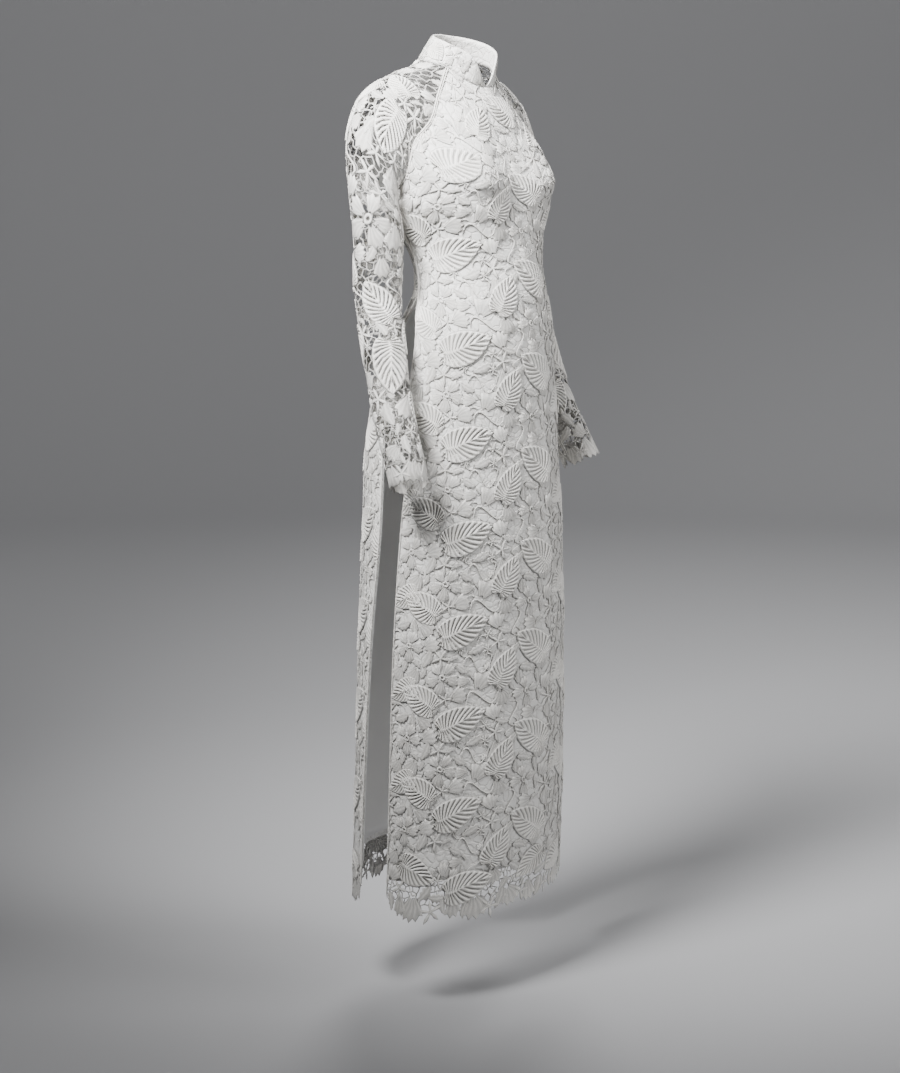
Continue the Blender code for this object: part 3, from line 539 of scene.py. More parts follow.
def open_flower(petals, tilt):
    """An open flower: toothed petals that overlap round an oval ring, two small knots beside it."""
    petal, ring, knot = toothed(1.0, 4, 0.15), eyelet(), star(5, 0.30)
    parts = []
    for k in range(petals):
        turn = 360 / petals * k + tilt + 9 * math.sin(2.1 * k)
        size = 0.42 + 0.05 * math.sin(1.3 * k + 1)
        away = 0.08 + size / 2
        angle = math.radians(turn)
        parts.append((petal, away * math.cos(angle), away * math.sin(angle), turn, size, 0.25 * (k % 2)))
    flat = bmesh.new()
    for part in (*parts, (ring, 0.01, 0.0, 30, 0.22, 0.6), (knot, 0.15, 0.08, 10, 0.13, 0.9),
                 (knot, -0.10, 0.13, 40, 0.12, 0.9)):
        add_to(flat, *part)
    return mesh_of("motif", flat)


MOTIFS = {
    "leaf": ribbed_leaf(),
    "open leaf": ribbed_leaf(lambda i, j: i % 4 == 0 and j in (2, 3, 6, 7)),
    "flower": open_flower(5, 8),
    "bloom": open_flower(4, 40),
    "petal": toothed(0.95, 4, 0.12),
    "fan": toothed(1.25, 5, 0.20, 0.2),
    "star": star(5, 0.31),
    "spark": star(6, 0.29),
    "sprig": small_leaf(4, 0.42, 0.35),
    "blade": small_leaf(3, 0.34, -0.55),
    "curl": cord(190, 7, 0.13),
    "cord": cord(80, 6, 0.09),
    "tendril": cord(150, 10, 0.085, 1.0),
}

# One repeat of the lace, 30 cm across and 14.8 cm down, as laid on the cutting table
REPEAT_ACROSS, REPEAT_DOWN = 0.300, 0.148
# motif, across, up, turn, size, lift in millimetres
LAID = (
    ("leaf", -0.128, 0.0, -18, 0.084, 0.9), ("leaf", -0.2, 0.036, -150, 0.072, 0.7),
    ("leaf", -0.057, 0.078, -62, 0.068, 0.8), ("leaf", -0.001, -0.043, -142, 0.08, 0.8),
    ("flower", -0.16, 0.072, 10, 0.056, 0.2), ("bloom", -0.012, 0.032, 40, 0.052, 0.2),
    ("flower", 0.078, -0.026, 0, 0.053, 0.2), ("leaf", 0.07, 0.048, 160, 0.06, 0.6),
    ("star", -0.163, -0.045, 15, 0.034, 0.8), ("star", -0.068, -0.026, 0, 0.032, 0.8),
    ("spark", 0.036, 0.014, 20, 0.034, 0.8), ("tendril", -0.092, 0.034, -12, 0.052, 0.7),
    ("tendril", -0.036, 0.0, 70, 0.044, 0.7), ("tendril", -0.104, -0.06, 10, 0.044, 0.6),
    ("fan", -0.092, 0.06, -60, 0.036, 0.1), ("fan", -0.062, -0.056, 80, 0.036, 0.1),
)
# Places where no motif lies and the smooth ground shows: across, up and width
BARE = ((-0.128, -0.049, 0.017), (-0.108, 0.040, 0.014), (0.020, 0.010, 0.012))
# Small motifs that close the repeat: name, size, how many tries, how near they may lie to the others
FILLING = (
    ("fan", 0.03, 300, 0.85), ("sprig", 0.034, 500, 0.66), ("star", 0.027, 300, 0.8), ("petal", 0.026, 500, 0.8),
    ("tendril", 0.034, 500, 0.62), ("sprig", 0.027, 900, 0.66), ("petal", 0.02, 900, 0.8), ("spark", 0.02, 900, 0.8),
    ("blade", 0.022, 1500, 0.66), ("curl", 0.016, 1500, 0.66), ("petal", 0.015, 1500, 0.8),
    ("star", 0.014, 1500, 0.85), ("cord", 0.015, 2000, 0.66), ("blade", 0.014, 2000, 0.66),
)
# How far each reaches from its middle, as a share of its size
REACH = {"flower": 0.47, "bloom": 0.47, "petal": 0.42, "fan": 0.44, "star": 0.40, "spark": 0.38, "sprig": 0.36,
         "blade": 0.34, "curl": 0.36, "cord": 0.34, "tendril": 0.36, "bare": 0.5}
LEAF_DISCS = ((-0.24, 0.24), (0, 0.31), (0.28, 0.18))      # a leaf's: along it and radius, as shares of its length


def sown(laid, wide, high, wrap, seed, room=None):
    """Adds small motifs to those laid, wherever one still finds room, and returns them all."""
    chance = np.random.default_rng(seed)
    placed, discs = list(laid), []
    for name, x, y, turn, size, lift in laid:
        if "leaf" in name:
            along = math.cos(math.radians(turn)) * size, math.sin(math.radians(turn)) * size
            discs += [(x + along[0] * k, y + along[1] * k, size * r) for k, r in LEAF_DISCS]
        else:
            discs.append((x, y, size * REACH[name]))
    for name, size, tries, near in FILLING:
        spots = chance.uniform((-wide / 2, 0), (wide / 2, high), (tries, 2))
        if room is not None:
            spots = spots[room(spots)]
        turns = chance.uniform(0, 360, len(spots))
        for (x, y), turn in zip(spots, turns):
            there = np.array(discs)
            away = np.abs(there[:, :2] - (x, y))
            if wrap:
                away = np.minimum(away % (wide, high), (wide, high) - away % (wide, high))
            if (np.hypot(*away.T) > there[:, 2] + size * REACH[name] * near).all():
                placed.append((name, x, y, turn, size, 0.1 + 0.6 * chance.random()))
                discs.append((x, y, size * REACH[name]))
    return placed


FULL_LEAF = 0.074       # a leaf of this size stands at its full height
FLATTER = 0.68          # and all other motifs at this share of theirs


def sewn(flat, name, x, y, turn, size, lift):
    """Sews one motif on at its own height."""
    tall = (0.75 + 0.25 * size / FULL_LEAF) * (1 if "leaf" in name else FLATTER)
    add_to(flat, MOTIFS[name], x, y, turn, size, lift, tall)


def trimmed(flat, plan, edge):
    """Cuts a flat panel of motifs off at its seams: what lies past them goes, and what crosses them ends there."""
    spots, seam_height = spots_of(flat), 0.0006
    half = np.interp(plan.uv(spots[:, :2])[1], plan.v, plan.half) - edge
    outside = (np.abs(spots[:, 0]) > half) | (spots[:, 1] < 0)
    for vert, gone, (x, y, z), h in zip(flat.verts, outside, spots, half):
        vert.tag = bool(gone)
        if gone:
            vert.co = (min(max(x, -h), h), max(y, 0), min(z, seam_height))
    lost = [face for face in flat.faces if all(vert.tag for vert in face.verts)]
    bmesh.ops.delete(flat, geom=lost, context="FACES")


bare = tuple(("bare", x, y, 0, size, 0) for x, y, size in BARE)
repeat = [motif for motif in sown(LAID + bare, REPEAT_ACROSS, REPEAT_DOWN, wrap=True, seed=5) if motif[0] != "bare"]


def thread_lace():
    """Rayon thread, slightly warm, with the fine run of the stitches and painted shade that darkens its hollows."""
    material, shader, add = fabric("corded lace")
    tone = blotches(add, 38, 4, (0.30, 0.68), (0.780, 0.755, 0.712), (0.860, 0.843, 0.808))
    # Painted shade: the lower a point lies on its motif, the darker its colour is made, down to 0.40 at the bottom of
    # the hollows and round the sunk motif edges.
    rise = add("SeparateXYZ", add("UVMap", uv_map="rise").outputs["UV"])
    depth = add("MapRange", rise.outputs["X"], From_Min=0.02, From_Max=0.80, To_Min=0.40)
    painted_hollow_shade = add("Mix", data_type="RGBA", blend_type="MULTIPLY", Factor=1.0, A=tone, B=depth.outputs["Result"])
    stitches = add("TexWave", bands_direction="DIAGONAL", Scale=14, Distortion=2.5, Detail=2, Detail_Scale=3,
                   Vector=add("UVMap", uv_map="thread").outputs["UV"])
    grain = add("TexNoise", Scale=700, Detail=3, Vector=add("TexCoord").outputs["Object"])
    both = add("Math", stitches.outputs["Fac"], grain.outputs["Fac"], operation="ADD")
    relief = add("Bump", Strength=0.45, Distance=0.0007, Height=both.outputs["Value"])
    shader(Base_Color=painted_hollow_shade.outputs["Result"], Normal=relief.outputs["Normal"], Roughness=0.50, Sheen_Weight=0.12)
    return material


def bar_ground():
    """The close ground between the motifs: small flat fields, each stitched its own way, with a groove round it that is
    painted darker as shade.
    """
    material, shader, add = fabric("stitched ground")
    threads = add("UVMap", uv_map="thread").outputs["UV"]
    sway = add("TexNoise", Scale=60, Vector=threads).outputs["Color"]
    bent = add("Mix", data_type="RGBA", blend_type="LINEAR_LIGHT", Factor=0.006, A=threads, B=sway).outputs["Result"]
    fields = add("TexVoronoi", Scale=75, Vector=bent)
    rims = add("TexVoronoi", feature="DISTANCE_TO_EDGE", Scale=75, Vector=bent)
    angle = add("Math", fields.outputs["Color"], 6.28, operation="MULTIPLY")
    turned = add("VectorRotate", rotation_type="Z_AXIS", Vector=threads, Angle=angle.outputs["Value"])
    stitches = add("TexWave", Scale=210, Distortion=1.5, Vector=turned.outputs["Vector"])
    groove = add("MapRange", rims.outputs["Distance"], interpolation_type="SMOOTHSTEP", From_Max=0.16).outputs["Result"]
    height = add("Math", stitches.outputs["Fac"], 0.22, groove, operation="MULTIPLY_ADD")
    # Painted shade: the colour darkens from the middle of each field into the groove round it.
    shade = add("Mix", data_type="RGBA", A=(0.70, 0.685, 0.655, 1), B=(0.80, 0.788, 0.762, 1), Factor=groove)
    relief = add("Bump", Strength=0.7, Distance=0.0009, Height=height.outputs["Value"])
    shader(Base_Color=shade.outputs["Result"], Normal=relief.outputs["Normal"], Roughness=0.55, Sheen_Weight=0.12)
    return material


lace_thread, lace_ground = thread_lace(), bar_ground()
NET_HEIGHT, NET_ROUND = 0.0004, 0.0006      # the middles of the bars, and how far their edges lie below these


def netting(wide, high, cell, bar, joined, seed):
    """A net of thread bars: six-sided cells a little out of true, some joined into larger gaps, open inside the rim."""
    columns, rows = 2 * round(wide / cell / 1.15), round(high / cell)
    flat = grid_of(columns, rows)
    chance = np.random.default_rng(seed)
    step = np.array([2 / columns, 2 / rows])
    ends = {vert: np.rint((np.array(vert.co.xy) + 1) / step).astype(int) for vert in flat.verts}
    merged = []
    for edge in flat.edges:
        (i, j), (other, below) = (ends[vert] for vert in edge.verts)
        if i == other and (i + min(j, below)) % 2 and 0 < i < columns:
            merged.append(edge)
    bmesh.ops.dissolve_edges(flat, edges=merged, use_verts=False)
    for vert in flat.verts:
        i, j = ends[vert]
        sway = chance.uniform(-0.2, 0.2, 2) * (2 * wide / columns, high / rows)
        lean = 0.14 * high / rows * (-1 if (i + j) % 2 else 1)
        vert.co = (vert.co.x * wide / 2 + sway[0], (vert.co.y + 1) * high / 2 + sway[1] + lean, NET_HEIGHT)
    wider, taken = [], set()
    for edge in flat.edges:
        both = {face.index for face in edge.link_faces}
        if len(both) == 2 and not both & taken and chance.random() < joined:
            wider.append(edge)
            taken |= both
    bmesh.ops.dissolve_edges(flat, edges=wider, use_verts=False)
    cells = list(flat.faces)
    bmesh.ops.inset_individual(flat, faces=cells, thickness=bar / 2, depth=-NET_ROUND)
    bmesh.ops.delete(flat, geom=cells, context="FACES")
    return flat


LACE_HEM, HEM_DIP, HEM_RISE = -1.314, 0.014, 0.012
LACE_LIFT = 0.0004


def hem_height(u):
    """The line along which the hem is cut out: lowest in the middle, and a little higher on the left side."""
    return LACE_HEM - HEM_DIP * np.cos(np.pi / 2 * u) + HEM_RISE * np.clip(u, 0, 1)


# The motifs round which the hem is cut, from the right side to the left: name, share across, how far below the line,
# turn, size, lift
HEM_LAID = (
    ("leaf", -0.74, -0.066, 28, 0.076, 0.9), ("sprig", -0.95, -0.01, 76, 0.036, 0.3),
    ("star", -0.87, -0.034, 15, 0.036, 1.0), ("petal", -0.86, -0.006, 88, 0.036, 0.3),
    ("fan", -0.75, -0.004, 97, 0.046, 0.5), ("star", -0.61, 0.0, 44, 0.04, 0.9),
    ("sprig", -0.66, -0.03, 130, 0.038, 0.3), ("blade", -0.52, -0.008, 80, 0.034, 0.5),
    ("leaf", -0.37, -0.04, -12, 0.083, 0.9), ("petal", -0.45, -0.006, 84, 0.038, 0.4),
    ("blade", -0.37, 0.002, 102, 0.032, 0.6), ("fan", -0.29, -0.002, 78, 0.044, 0.4),
    ("star", -0.2, 0.002, 5, 0.038, 0.9), ("sprig", -0.13, -0.008, 108, 0.04, 0.3),
    ("fan", -0.05, -0.01, 64, 0.038, 0.4), ("star", 0.03, -0.008, 0, 0.034, 0.9),
    ("leaf", 0.1, -0.05, 150, 0.064, 0.8), ("petal", 0.1, -0.004, 84, 0.038, 0.4),
    ("sprig", 0.18, -0.004, 104, 0.04, 0.5), ("star", 0.26, -0.004, 30, 0.034, 0.9),
    ("leaf", 0.38, -0.032, 166, 0.07, 0.9), ("fan", 0.45, 0.0, 98, 0.04, 0.4), ("blade", 0.35, 0.002, 84, 0.032, 0.6),
    ("spark", 0.53, 0.002, 12, 0.036, 0.8), ("sprig", 0.6, -0.002, 82, 0.04, 0.3),
    ("petal", 0.68, -0.004, 100, 0.04, 0.5), ("star", 0.75, -0.002, 50, 0.034, 0.9),
    ("leaf", 0.8, -0.05, -160, 0.062, 0.8), ("fan", 0.84, -0.004, 84, 0.038, 0.4),
    ("sprig", 0.94, -0.008, 78, 0.036, 0.5),
)
EDGE_CORD, CORD_HEIGHT, CORD_BEAT = 0.0026, 0.0022, 0.0004


def edging(flat, plan, low):
    """Sews a stitched cord down both side edges of a flat panel; its width and height swell with the stitches."""
    rows = 260
    for side in (-1, 1):
        strip = grid_of(3, rows)
        for vert in strip.verts:
            down = (vert.co.y + 1) / 2 * low
            i = round((vert.co.x + 1) * 1.5)
            beat = CORD_BEAT * math.sin(1.9 * round((vert.co.y + 1) * rows / 2))
            x = float(plan.half_at(down)) - CORD_BEAT - (3 - i) / 3 * EDGE_CORD + beat * (i == 0)
            vert.co = (side * x, down, (CORD_HEIGHT if i in (1, 2) else -CORD_BEAT) + beat)
        if side < 0:
            bmesh.ops.reverse_faces(strip, faces=strip.faces)
        chart(strip, scale=30)
        flat.from_mesh(mesh_of("edging", strip))


GROUND_BELOW = 0.010    # the close ground reaches this far below the lining's hem
GROUND_THICK = 0.0008
SHIFT = {"front": 0.012, "back": 0.120}     # how far the repeat is laid to one side
FIRST_DOWN = 0.152      # where the second row of repeats begins
HEM_BAND = 0.075        # small motifs close the lace again over this height above the hem
for name, form, outward in PANELS:
    plan = plans[name]
    ground = carry(f"ground_{name}", shell_of(plan, 64, 190, at_height(LINING_HEM - GROUND_BELOW)), plan, form, outward,
                   -GROUND_THICK, lace_ground)
    thicken(ground, GROUND_THICK)
    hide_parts(f"lace_{name}")

    length, side = plan.down[-1], -outward
    foot_half, hem_half = float(plan.half_at(length)), float(plan.half_at(length - 0.03))

    def hem_y(share):
        return np.interp(at_height(hem_height(np.clip(share, -1, 1))), plan.v, plan.down)

    cut_out = [(motif, side * share * hem_half, float(hem_y(side * share)) + below, turn if side > 0 else 180 - turn,
                size, lift) for motif, share, below, turn, size, lift in HEM_LAID]
    placed = []
    for across in np.arange(-1, 2) * REPEAT_ACROSS:
        for down in np.arange(-1, math.ceil(length / REPEAT_DOWN) + 1) * REPEAT_DOWN:
            for motif, x, y, turn, size, lift in repeat:
                x, y = x + across + SHIFT[name], FIRST_DOWN + down - y
                half = float(plan.half_at(min(max(y, 0.0), length)))
                low = float(hem_y(x / half)) - 0.42 * size
                near = any(math.hypot(x - a, y - b) < 0.40 * (size + c) for _, a, b, _, c, _ in cut_out)
                if abs(x) < half + size / 2 and -size / 2 < y < low and not near:
                    placed.append((motif, x, y, turn, size, lift))
    band_top = float(hem_y(0.0)) - HEM_BAND
    there = [(motif, x, y - band_top, turn, size, lift) for motif, x, y, turn, size, lift in placed + cut_out
             if y > band_top - 0.03]
    between = sown(there, 2 * foot_half, HEM_BAND, wrap=False, seed=6,
                   room=lambda spots: spots[:, 1] + band_top < hem_y(spots[:, 0] / foot_half) - 0.008)
    placed += cut_out + [(motif, x, y + band_top, *rest) for motif, x, y, *rest in between[len(there):]]
    flat = bmesh.new()
    for motif in placed:
        sewn(flat, *motif)
    edging(flat, plan, float(hem_y(1.0)) - 0.006)
    trimmed(flat, plan, 0.0004)
    lace = carry(f"lace_motifs_{name}", flat, plan, form, outward, LACE_LIFT, lace_thread)

    band = netting(2.1 * hem_half, high=0.066, cell=0.0115, bar=0.0024, joined=0.15, seed=3)
    start = float(np.interp(at_height(LINING_HEM - GROUND_BELOW / 2), plan.v, plan.down))
    bmesh.ops.translate(band, vec=(0, start, 0), verts=band.verts)
    below = [vert for vert in band.verts if vert.co.y > hem_y(vert.co.x / hem_half) - 0.004]
    bmesh.ops.delete(band, geom=below, context="VERTS")
    trimmed(band, plan, 0.0008)
    chart(band)
    hem_net = carry(f"hem_net_{name}", band, plan, form, outward, 0.0, lace_thread)

# ---------------------------------------------------------------- sleeves
# Long raglan sleeves of the same lace, unlined, so one sees through between the motifs and the thread bars. They are
# sewn to the front, the back and the collar, each with a corded seam, and their cuffs are cut out round the motifs.


# The left arm hangs a little further back than the right one.
LEFT_ARM = table(
    "row inward back",
    (5, 0.000, 0.000),
    (6, 0.000, 0.000),
    (7, 0.000, -0.002),
    (8, 0.002, 0.012),
    (9, 0.006, 0.018),
    (10, 0.004, 0.016),
    (11, 0.000, 0.006),
)


def row_form(u, v):
    """The right sleeve; v is 0 at the neck, 1 at the armpit and 2.2 past the cuff."""
    return sleeve_form(u, np.asarray(v) * YOKE_ROWS)


def left_form(u, v):
    row = np.asarray(v, float) * YOKE_ROWS
    swing = np.stack([read(LEFT_ARM, "inward", row), read(LEFT_ARM, "back", row), 0 * row], axis=-1)
    return (sleeve_form(u, row) + swing) * (-1, 1, 1)


CUFF_ROW = 10.55
# Large motifs of the right sleeve: name, share across from -1, its front seam, to 1, down from the neck, turn, size and
# lift
SLEEVE_LAID = (
    ("open leaf", -0.49, 0.169, 85, 0.087, 0.9), ("open leaf", -0.36, 0.089, -21, 0.066, 0.6),
    ("open leaf", -0.25, 0.442, -58, 0.08, 0.9), ("open leaf", -0.28, 0.549, 87, 0.094, 0.9),
    ("flower", -0.12, 0.315, 20, 0.08, 0.3), ("petal", -0.45, 0.336, 80, 0.046, 0.5),
    ("star", -0.16, 0.255, 10, 0.038, 0.9), ("star", -0.64, 0.212, 40, 0.036, 0.9),
    ("star", -0.8, 0.119, 0, 0.036, 0.9), ("star", -0.32, 0.222, 25, 0.036, 0.8),
    ("sprig", -0.46, 0.262, 110, 0.044, 0.4), ("sprig", -0.22, 0.185, 60, 0.04, 0.3),
    ("petal", -0.28, 0.385, 95, 0.036, 0.4), ("petal", -0.44, 0.618, 60, 0.042, 0.5),
    ("sprig", -0.14, 0.628, 100, 0.044, 0.4), ("star", -0.02, 0.6, 0, 0.038, 0.9),
    ("open leaf", 0.38, 0.165, 100, 0.072, 0.8), ("open leaf", 0.14, 0.12, 50, 0.06, 0.7),
    ("bloom", 0.6, 0.095, 0, 0.054, 0.3), ("open leaf", 0.8, 0.225, 80, 0.06, 0.8),
    ("flower", 0.46, 0.265, 0, 0.068, 0.3), ("open leaf", 0.34, 0.385, -60, 0.072, 0.9),
    ("open leaf", 0.78, 0.35, 95, 0.064, 0.8), ("open leaf", -0.82, 0.32, 100, 0.06, 0.8),
    ("bloom", -0.72, 0.4, 30, 0.058, 0.3), ("open leaf", -0.74, 0.5, 70, 0.062, 0.8),
    ("flower", 0.72, 0.445, 15, 0.06, 0.3), ("open leaf", 0.36, 0.505, 90, 0.072, 0.9),
    ("open leaf", -0.72, 0.62, 95, 0.06, 0.8), ("bloom", 0.76, 0.545, 0, 0.056, 0.3),
    ("flower", 0.34, 0.615, 10, 0.062, 0.3), ("open leaf", 0.74, 0.64, 100, 0.058, 0.8),
    ("tendril", 0.14, 0.235, 80, 0.06, 0.7), ("tendril", -0.52, 0.425, 100, 0.056, 0.7),
    ("tendril", 0.1, 0.425, 95, 0.06, 0.7), ("star", 0.1, 0.49, 10, 0.036, 0.9),
    ("star", -0.42, 0.485, 30, 0.03, 0.9), ("petal", -0.16, 0.205, 60, 0.048, 0.4),
    ("star", -0.82, 0.185, 20, 0.034, 0.9), ("petal", -0.55, 0.246, 80, 0.046, 0.3),
    ("sprig", -0.8, 0.236, 70, 0.046, 0.3), ("petal", -0.66, 0.272, 95, 0.044, 0.3),
    ("star", -0.3, 0.28, 0, 0.034, 0.8),
)
# The motifs round which the cuff is cut: name, share across, how far below the line, turn, size, lift
CUFF_LAID = (
    ("fan", -0.9, 0.0, 94, 0.036, 0.4), ("star", -0.76, -0.002, 20, 0.03, 0.9),
    ("petal", -0.6, -0.002, 82, 0.038, 0.5), ("sprig", -0.46, 0.002, 104, 0.036, 0.3),
    ("fan", -0.3, -0.002, 84, 0.038, 0.4), ("star", -0.13, 0.0, 8, 0.032, 0.9),
    ("petal", 0.04, 0.002, 98, 0.038, 0.4), ("sprig", 0.18, 0.0, 80, 0.036, 0.6),
    ("fan", 0.34, -0.004, 102, 0.036, 0.4), ("spark", 0.5, 0.0, 30, 0.032, 0.9),
    ("petal", 0.64, 0.002, 84, 0.038, 0.4), ("sprig", 0.79, -0.002, 100, 0.034, 0.3),
    ("star", 0.92, -0.004, 50, 0.03, 0.9),
)
BARE_ABOVE = 0.070      # near the neck the lace is mostly open net
LEFT_OUT = 5            # one in so many of the small motifs is left out, so that the net shows
for side, form, outward in (("right", row_form, 1), ("left", left_form, -1)):
    plan = Plan(form, 11 / YOKE_ROWS)
    cuff = float(np.interp(CUFF_ROW / YOKE_ROWS, plan.v, plan.down))

    def room(spots):
        """Small motifs lie inside the edges, and near the neck only in patches."""
        patches = np.sin(spots[:, 0] * 400) * np.sin(spots[:, 1] * 330) > 0.15
        return (np.abs(spots[:, 0]) < plan.half_at(spots[:, 1])) & ((spots[:, 1] > BARE_ABOVE) | patches)

    laid = [(motif, share * float(plan.half_at(down)), down, *rest) for motif, share, down, *rest in SLEEVE_LAID]
    laid += [(motif, share * float(plan.half_at(cuff)), cuff + below, *rest)
             for motif, share, below, *rest in CUFF_LAID]
    wide, area = cut_of(plan, cuff)
    flat = bmesh.new()
    for k, motif in enumerate(sown(laid, wide, cuff - 0.012, wrap=False, seed=8, room=room)):
        if k < len(laid) or k % LEFT_OUT:
            sewn(flat, *motif)
    edging(flat, plan, cuff - 0.004)
    net = netting(wide * 1.02, cuff - 0.006, cell=0.0118, bar=0.0026, joined=0.20, seed=11)
    chart(net)
    flat.from_mesh(mesh_of("net", net))
    trimmed(flat, plan, 0.0002)
    sleeve = carry(f"lace_sleeve_{side}", flat, plan, form, outward, LACE_LIFT - GROUND_THICK, lace_thread)
    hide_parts(f"sleeve_{side}_front", f"sleeve_{side}_back")

# ---------------------------------------------------------------- stand collar
# A narrow stand of stiffened cloth under lace, sewn round the neck. It leans in to the throat, and its two ends are
# rounded off and meet at the middle of the front.

# The top of the stand collar by the angle from the middle of the front: as a full ring, and as it is cut
COLLAR_TOP = table(
    "row  full   cut",
    (0, 0.0210, -0.0230),
    (7, 0.0220, -0.0165),
    (14, 0.0235, -0.0060),
    (21, 0.0250, 0.0060),
    (30, 0.0270, 0.0170),
    (42, 0.0300, 0.0265),
    (60, 0.0350, 0.0345),
    (90, 0.0460, 0.0460),
    (130, 0.0560, 0.0560),
    (180, 0.0610, 0.0610),
)
COLLAR_HALF, COLLAR_MIDDLE = 0.0510, -0.019
FRONT_END = 179.4       # each front end stops this many degrees from the nape
SEAM_ABOVE = 0.0006


def neck_seam(turn):
    """Points of the neck seam by their angle from the middle of the front, positive over the left side."""
    runs = [front_form(np.linspace(0, 1, 40), np.zeros(40)), left_form(np.linspace(-1, 1, 40), np.zeros(40)),
            back_form(np.linspace(1, 0, 40), np.zeros(40))]
    run = np.concatenate(runs)
    angle = np.degrees(np.arctan2(run[:, 0], -run[:, 1]))
    order = np.argsort(angle)
    half = np.abs(turn)
    seam = np.stack([np.interp(half, angle[order], run[order, k]) for k in range(3)], axis=-1)
    seam[..., 0] *= np.sign(turn)
    return seam


def collar_form(u, v):
    """The collar: u from -1, its right front end, over the nape to 1, its left one, and v from the seam to the top."""
    u, v = np.broadcast_arrays(np.asarray(u, float), np.asarray(v, float))
    turn = np.where(u < 0, -1, 1) * (180 - np.abs(u) * FRONT_END)
    foot = neck_seam(turn)
    foot[..., 2] += SEAM_ABOVE
    angle = np.radians(turn)
    full = np.stack([COLLAR_HALF * np.sin(angle), COLLAR_MIDDLE - COLLAR_HALF * np.cos(angle),
                     read(COLLAR_TOP, "full", np.abs(turn))], axis=-1)
    share = (read(COLLAR_TOP, "cut", np.abs(turn)) - foot[..., 2]) / (full[..., 2] - foot[..., 2])
    return foot + (full - foot) * (np.clip(share, 0.04, 1) * v)[..., None]


class Strip(Plan):
    """The collar's flat plan: x round the neck from the nape, y down from its top edge."""

    def __init__(self):
        u = np.linspace(-1, 1, 241)
        self.u = u
        steps = np.linalg.norm(np.diff(collar_form(u, 0.5), axis=0), axis=-1)
        self.along = np.concatenate([[0], np.cumsum(steps)])
        self.along -= np.interp(0, u, self.along)
        self.high = np.linalg.norm(collar_form(u, 1.0) - collar_form(u, 0.0), axis=-1)

    def uv(self, points):
        points = np.asarray(points, float)
        u = np.interp(points[..., 0], self.along, self.u)
        return u, np.clip(points[..., 1] / np.interp(u, self.u, self.high), 0, 1)

    def xy(self, u, v):
        return np.stack([np.interp(u, self.u, self.along), v * np.interp(u, self.u, self.high)], axis=-1)


strip = Strip()
band = carry("collar_stand", shell_of(strip, 120, 6, 1), strip, collar_form, -1, 0.0, lace_ground)
thicken(band, 0.0022, -1)
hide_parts("collar")

tall, around = float(strip.high.max()), float(strip.along[-1])
# Motifs of the collar: name, from the nape, up from the seam, turn, size, lift
COLLAR_LAID = tuple(
    (motif, side * x, y, turn if side > 0 else 180 - turn, size, lift)
    for side in (-1, 1)
    for motif, x, y, turn, size, lift in (
        ("leaf", 0.018, 0.022, 70, 0.04, 0.4), ("flower", 0.052, 0.022, 0, 0.038, 0.2),
        ("leaf", 0.088, 0.02, -35, 0.04, 0.4), ("bloom", 0.12, 0.022, 30, 0.036, 0.2),
        ("sprig", 0.143, 0.02, 70, 0.03, 0.3), ("star", 0.07, 0.008, 0, 0.018, 0.6),
        ("star", 0.104, 0.035, 0, 0.018, 0.6)))
SMALL = 0.031           # only motifs smaller than this are sewn between them
flat = bmesh.new()
for motif in sown(COLLAR_LAID, 2 * around, tall, wrap=False, seed=4):
    x, y, size = motif[1], motif[2], motif[4]
    high = float(np.interp(x, strip.along, strip.high))
    inside = abs(x) < around - 0.3 * size and 0.25 * size < y < high - 0.25 * size
    if motif in COLLAR_LAID or inside and size < SMALL:
        sewn(flat, *motif)
for vert in flat.verts:
    high = float(np.interp(vert.co.x, strip.along, strip.high))
    past = max(abs(vert.co.x) - around, -vert.co.y, vert.co.y - high)
    if past > -0.0003:
        vert.co = (min(max(vert.co.x, -around), around), min(max(vert.co.y, 0), high), -0.0002)
folded = [face for face in flat.faces if face.calc_area() < 1e-8]
bmesh.ops.delete(flat, geom=folded, context="FACES")
stitched = carry("collar_lace", flat, strip, collar_form, -1, 0.0004, lace_thread)

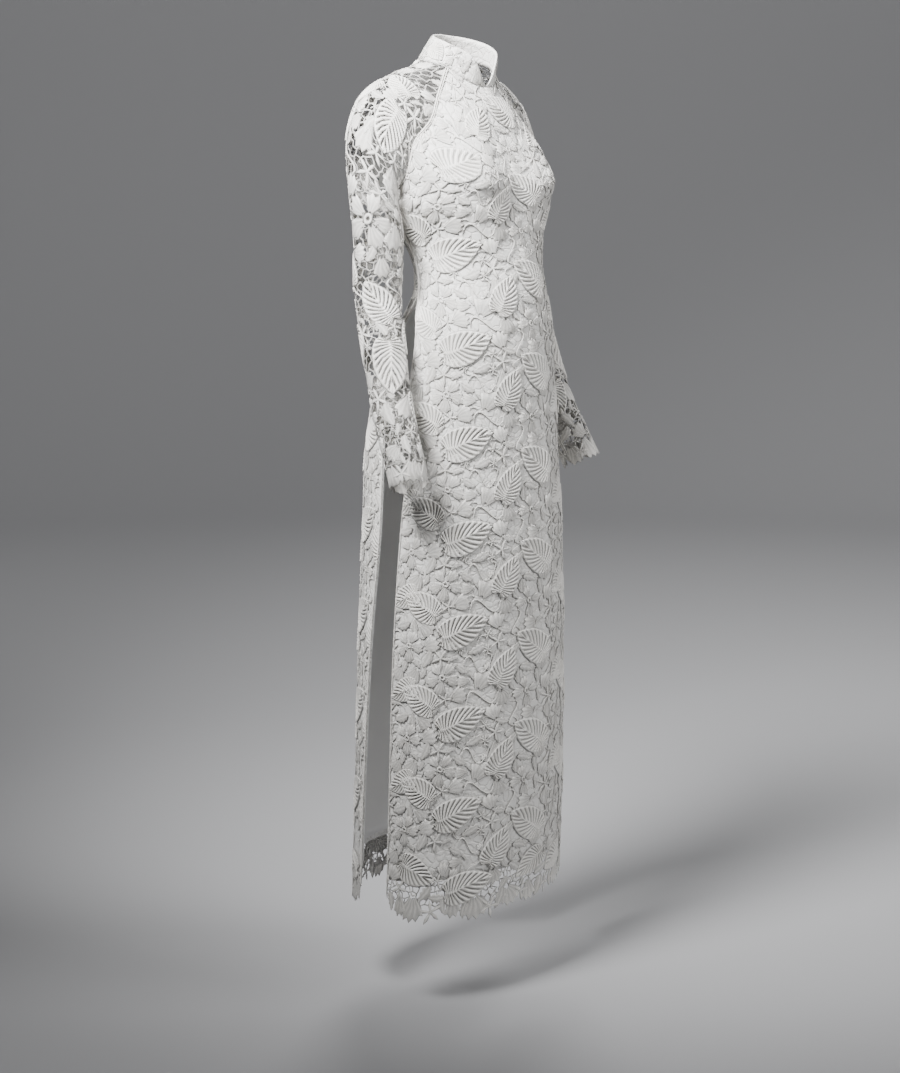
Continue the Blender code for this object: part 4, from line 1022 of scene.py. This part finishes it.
# ---------------------------------------------------------------- studio
# A plain pale floor that turns up into a wall all round, a soft light high on the right sleeve's side whose edge falls
# on the hem, a weaker one from the front, and two faint ones behind for the back and the wall.
sweep = grid_of(96, 40)
FLOOR_RADIUS, BEND, WALL, FLOOR_HEIGHT = 5.5, 2.0, 1.5, -1.49
for vert in sweep.verts:
    run = (vert.co.y + 1) / 2 * (FLOOR_RADIUS + BEND * math.pi / 2 + WALL)
    bent = min(max(run - FLOOR_RADIUS, 0), BEND * math.pi / 2) / BEND
    radius = min(run, FLOOR_RADIUS) + BEND * math.sin(bent)
    rise = BEND * (1 - math.cos(bent)) + max(run - FLOOR_RADIUS - BEND * math.pi / 2, 0)
    around = math.pi * vert.co.x
    vert.co = (radius * math.cos(around), radius * math.sin(around), FLOOR_HEIGHT + rise)
bmesh.ops.remove_doubles(sweep, verts=sweep.verts, dist=1e-4)
bmesh.ops.reverse_faces(sweep, faces=sweep.faces)
floor = put("floor", mesh_of("floor", sweep))
floor.data.shade_smooth()
paper, shader, _ = fabric("pale floor")
shader(Base_Color=(0.40, 0.40, 0.41, 1), Roughness=0.9)
floor.data.materials.append(paper)

world = bpy.data.worlds.new("soft room")
bpy.context.scene.world = world
world.use_nodes = True
background = world.node_tree.nodes["Background"].inputs
background["Color"].default_value, background["Strength"].default_value = (0.97, 0.98, 1.0, 1), 0.12


def soft_light(name, place, target, size, power, spread=180):
    data = bpy.data.lights.new(name, "AREA")
    data.shape, data.size, data.energy, data.spread = "DISK", size, power, math.radians(spread)
    lamp = put(name, data)
    lamp.location = place
    lamp.rotation_euler = (Vector(target) - Vector(place)).to_track_quat("-Z", "Y").to_euler()


soft_light("key", (-1.65, -0.2, 1.35), (0, 0, 0.15), 0.9, 41, 60)
soft_light("fill", (1.2, -3.0, 0.6), (0, 0, -0.4), 2.0, 12.5, 60)
soft_light("back", (2.6, 2.0, 1.6), (0, 0, -0.3), 1.6, 14, 60)
soft_light("wall", (1.4, 1.2, 2.6), (6.0, 5.0, 0.2), 2.0, 130)

camera = put("camera", bpy.data.cameras.new("camera"))
bpy.context.scene.camera = camera
AZIMUTH, AWAY, TILT = math.radians(50), 3.8, math.radians(8.6)
camera.location = (-math.sin(AZIMUTH) * AWAY, -math.cos(AZIMUTH) * AWAY, -0.17)
look = Vector((math.sin(AZIMUTH) * math.cos(TILT), math.cos(AZIMUTH) * math.cos(TILT), -math.sin(TILT)))
camera.rotation_euler = look.to_track_quat("-Z", "Y").to_euler()
SENSOR, PICTURE_HEIGHT, FOCAL, ASIDE = 36, 1073, 2351, -6       # in millimetres, then in picture points
camera.data.sensor_width = SENSOR
camera.data.lens = FOCAL / PICTURE_HEIGHT * SENSOR
camera.data.shift_x = ASIDE / PICTURE_HEIGHT
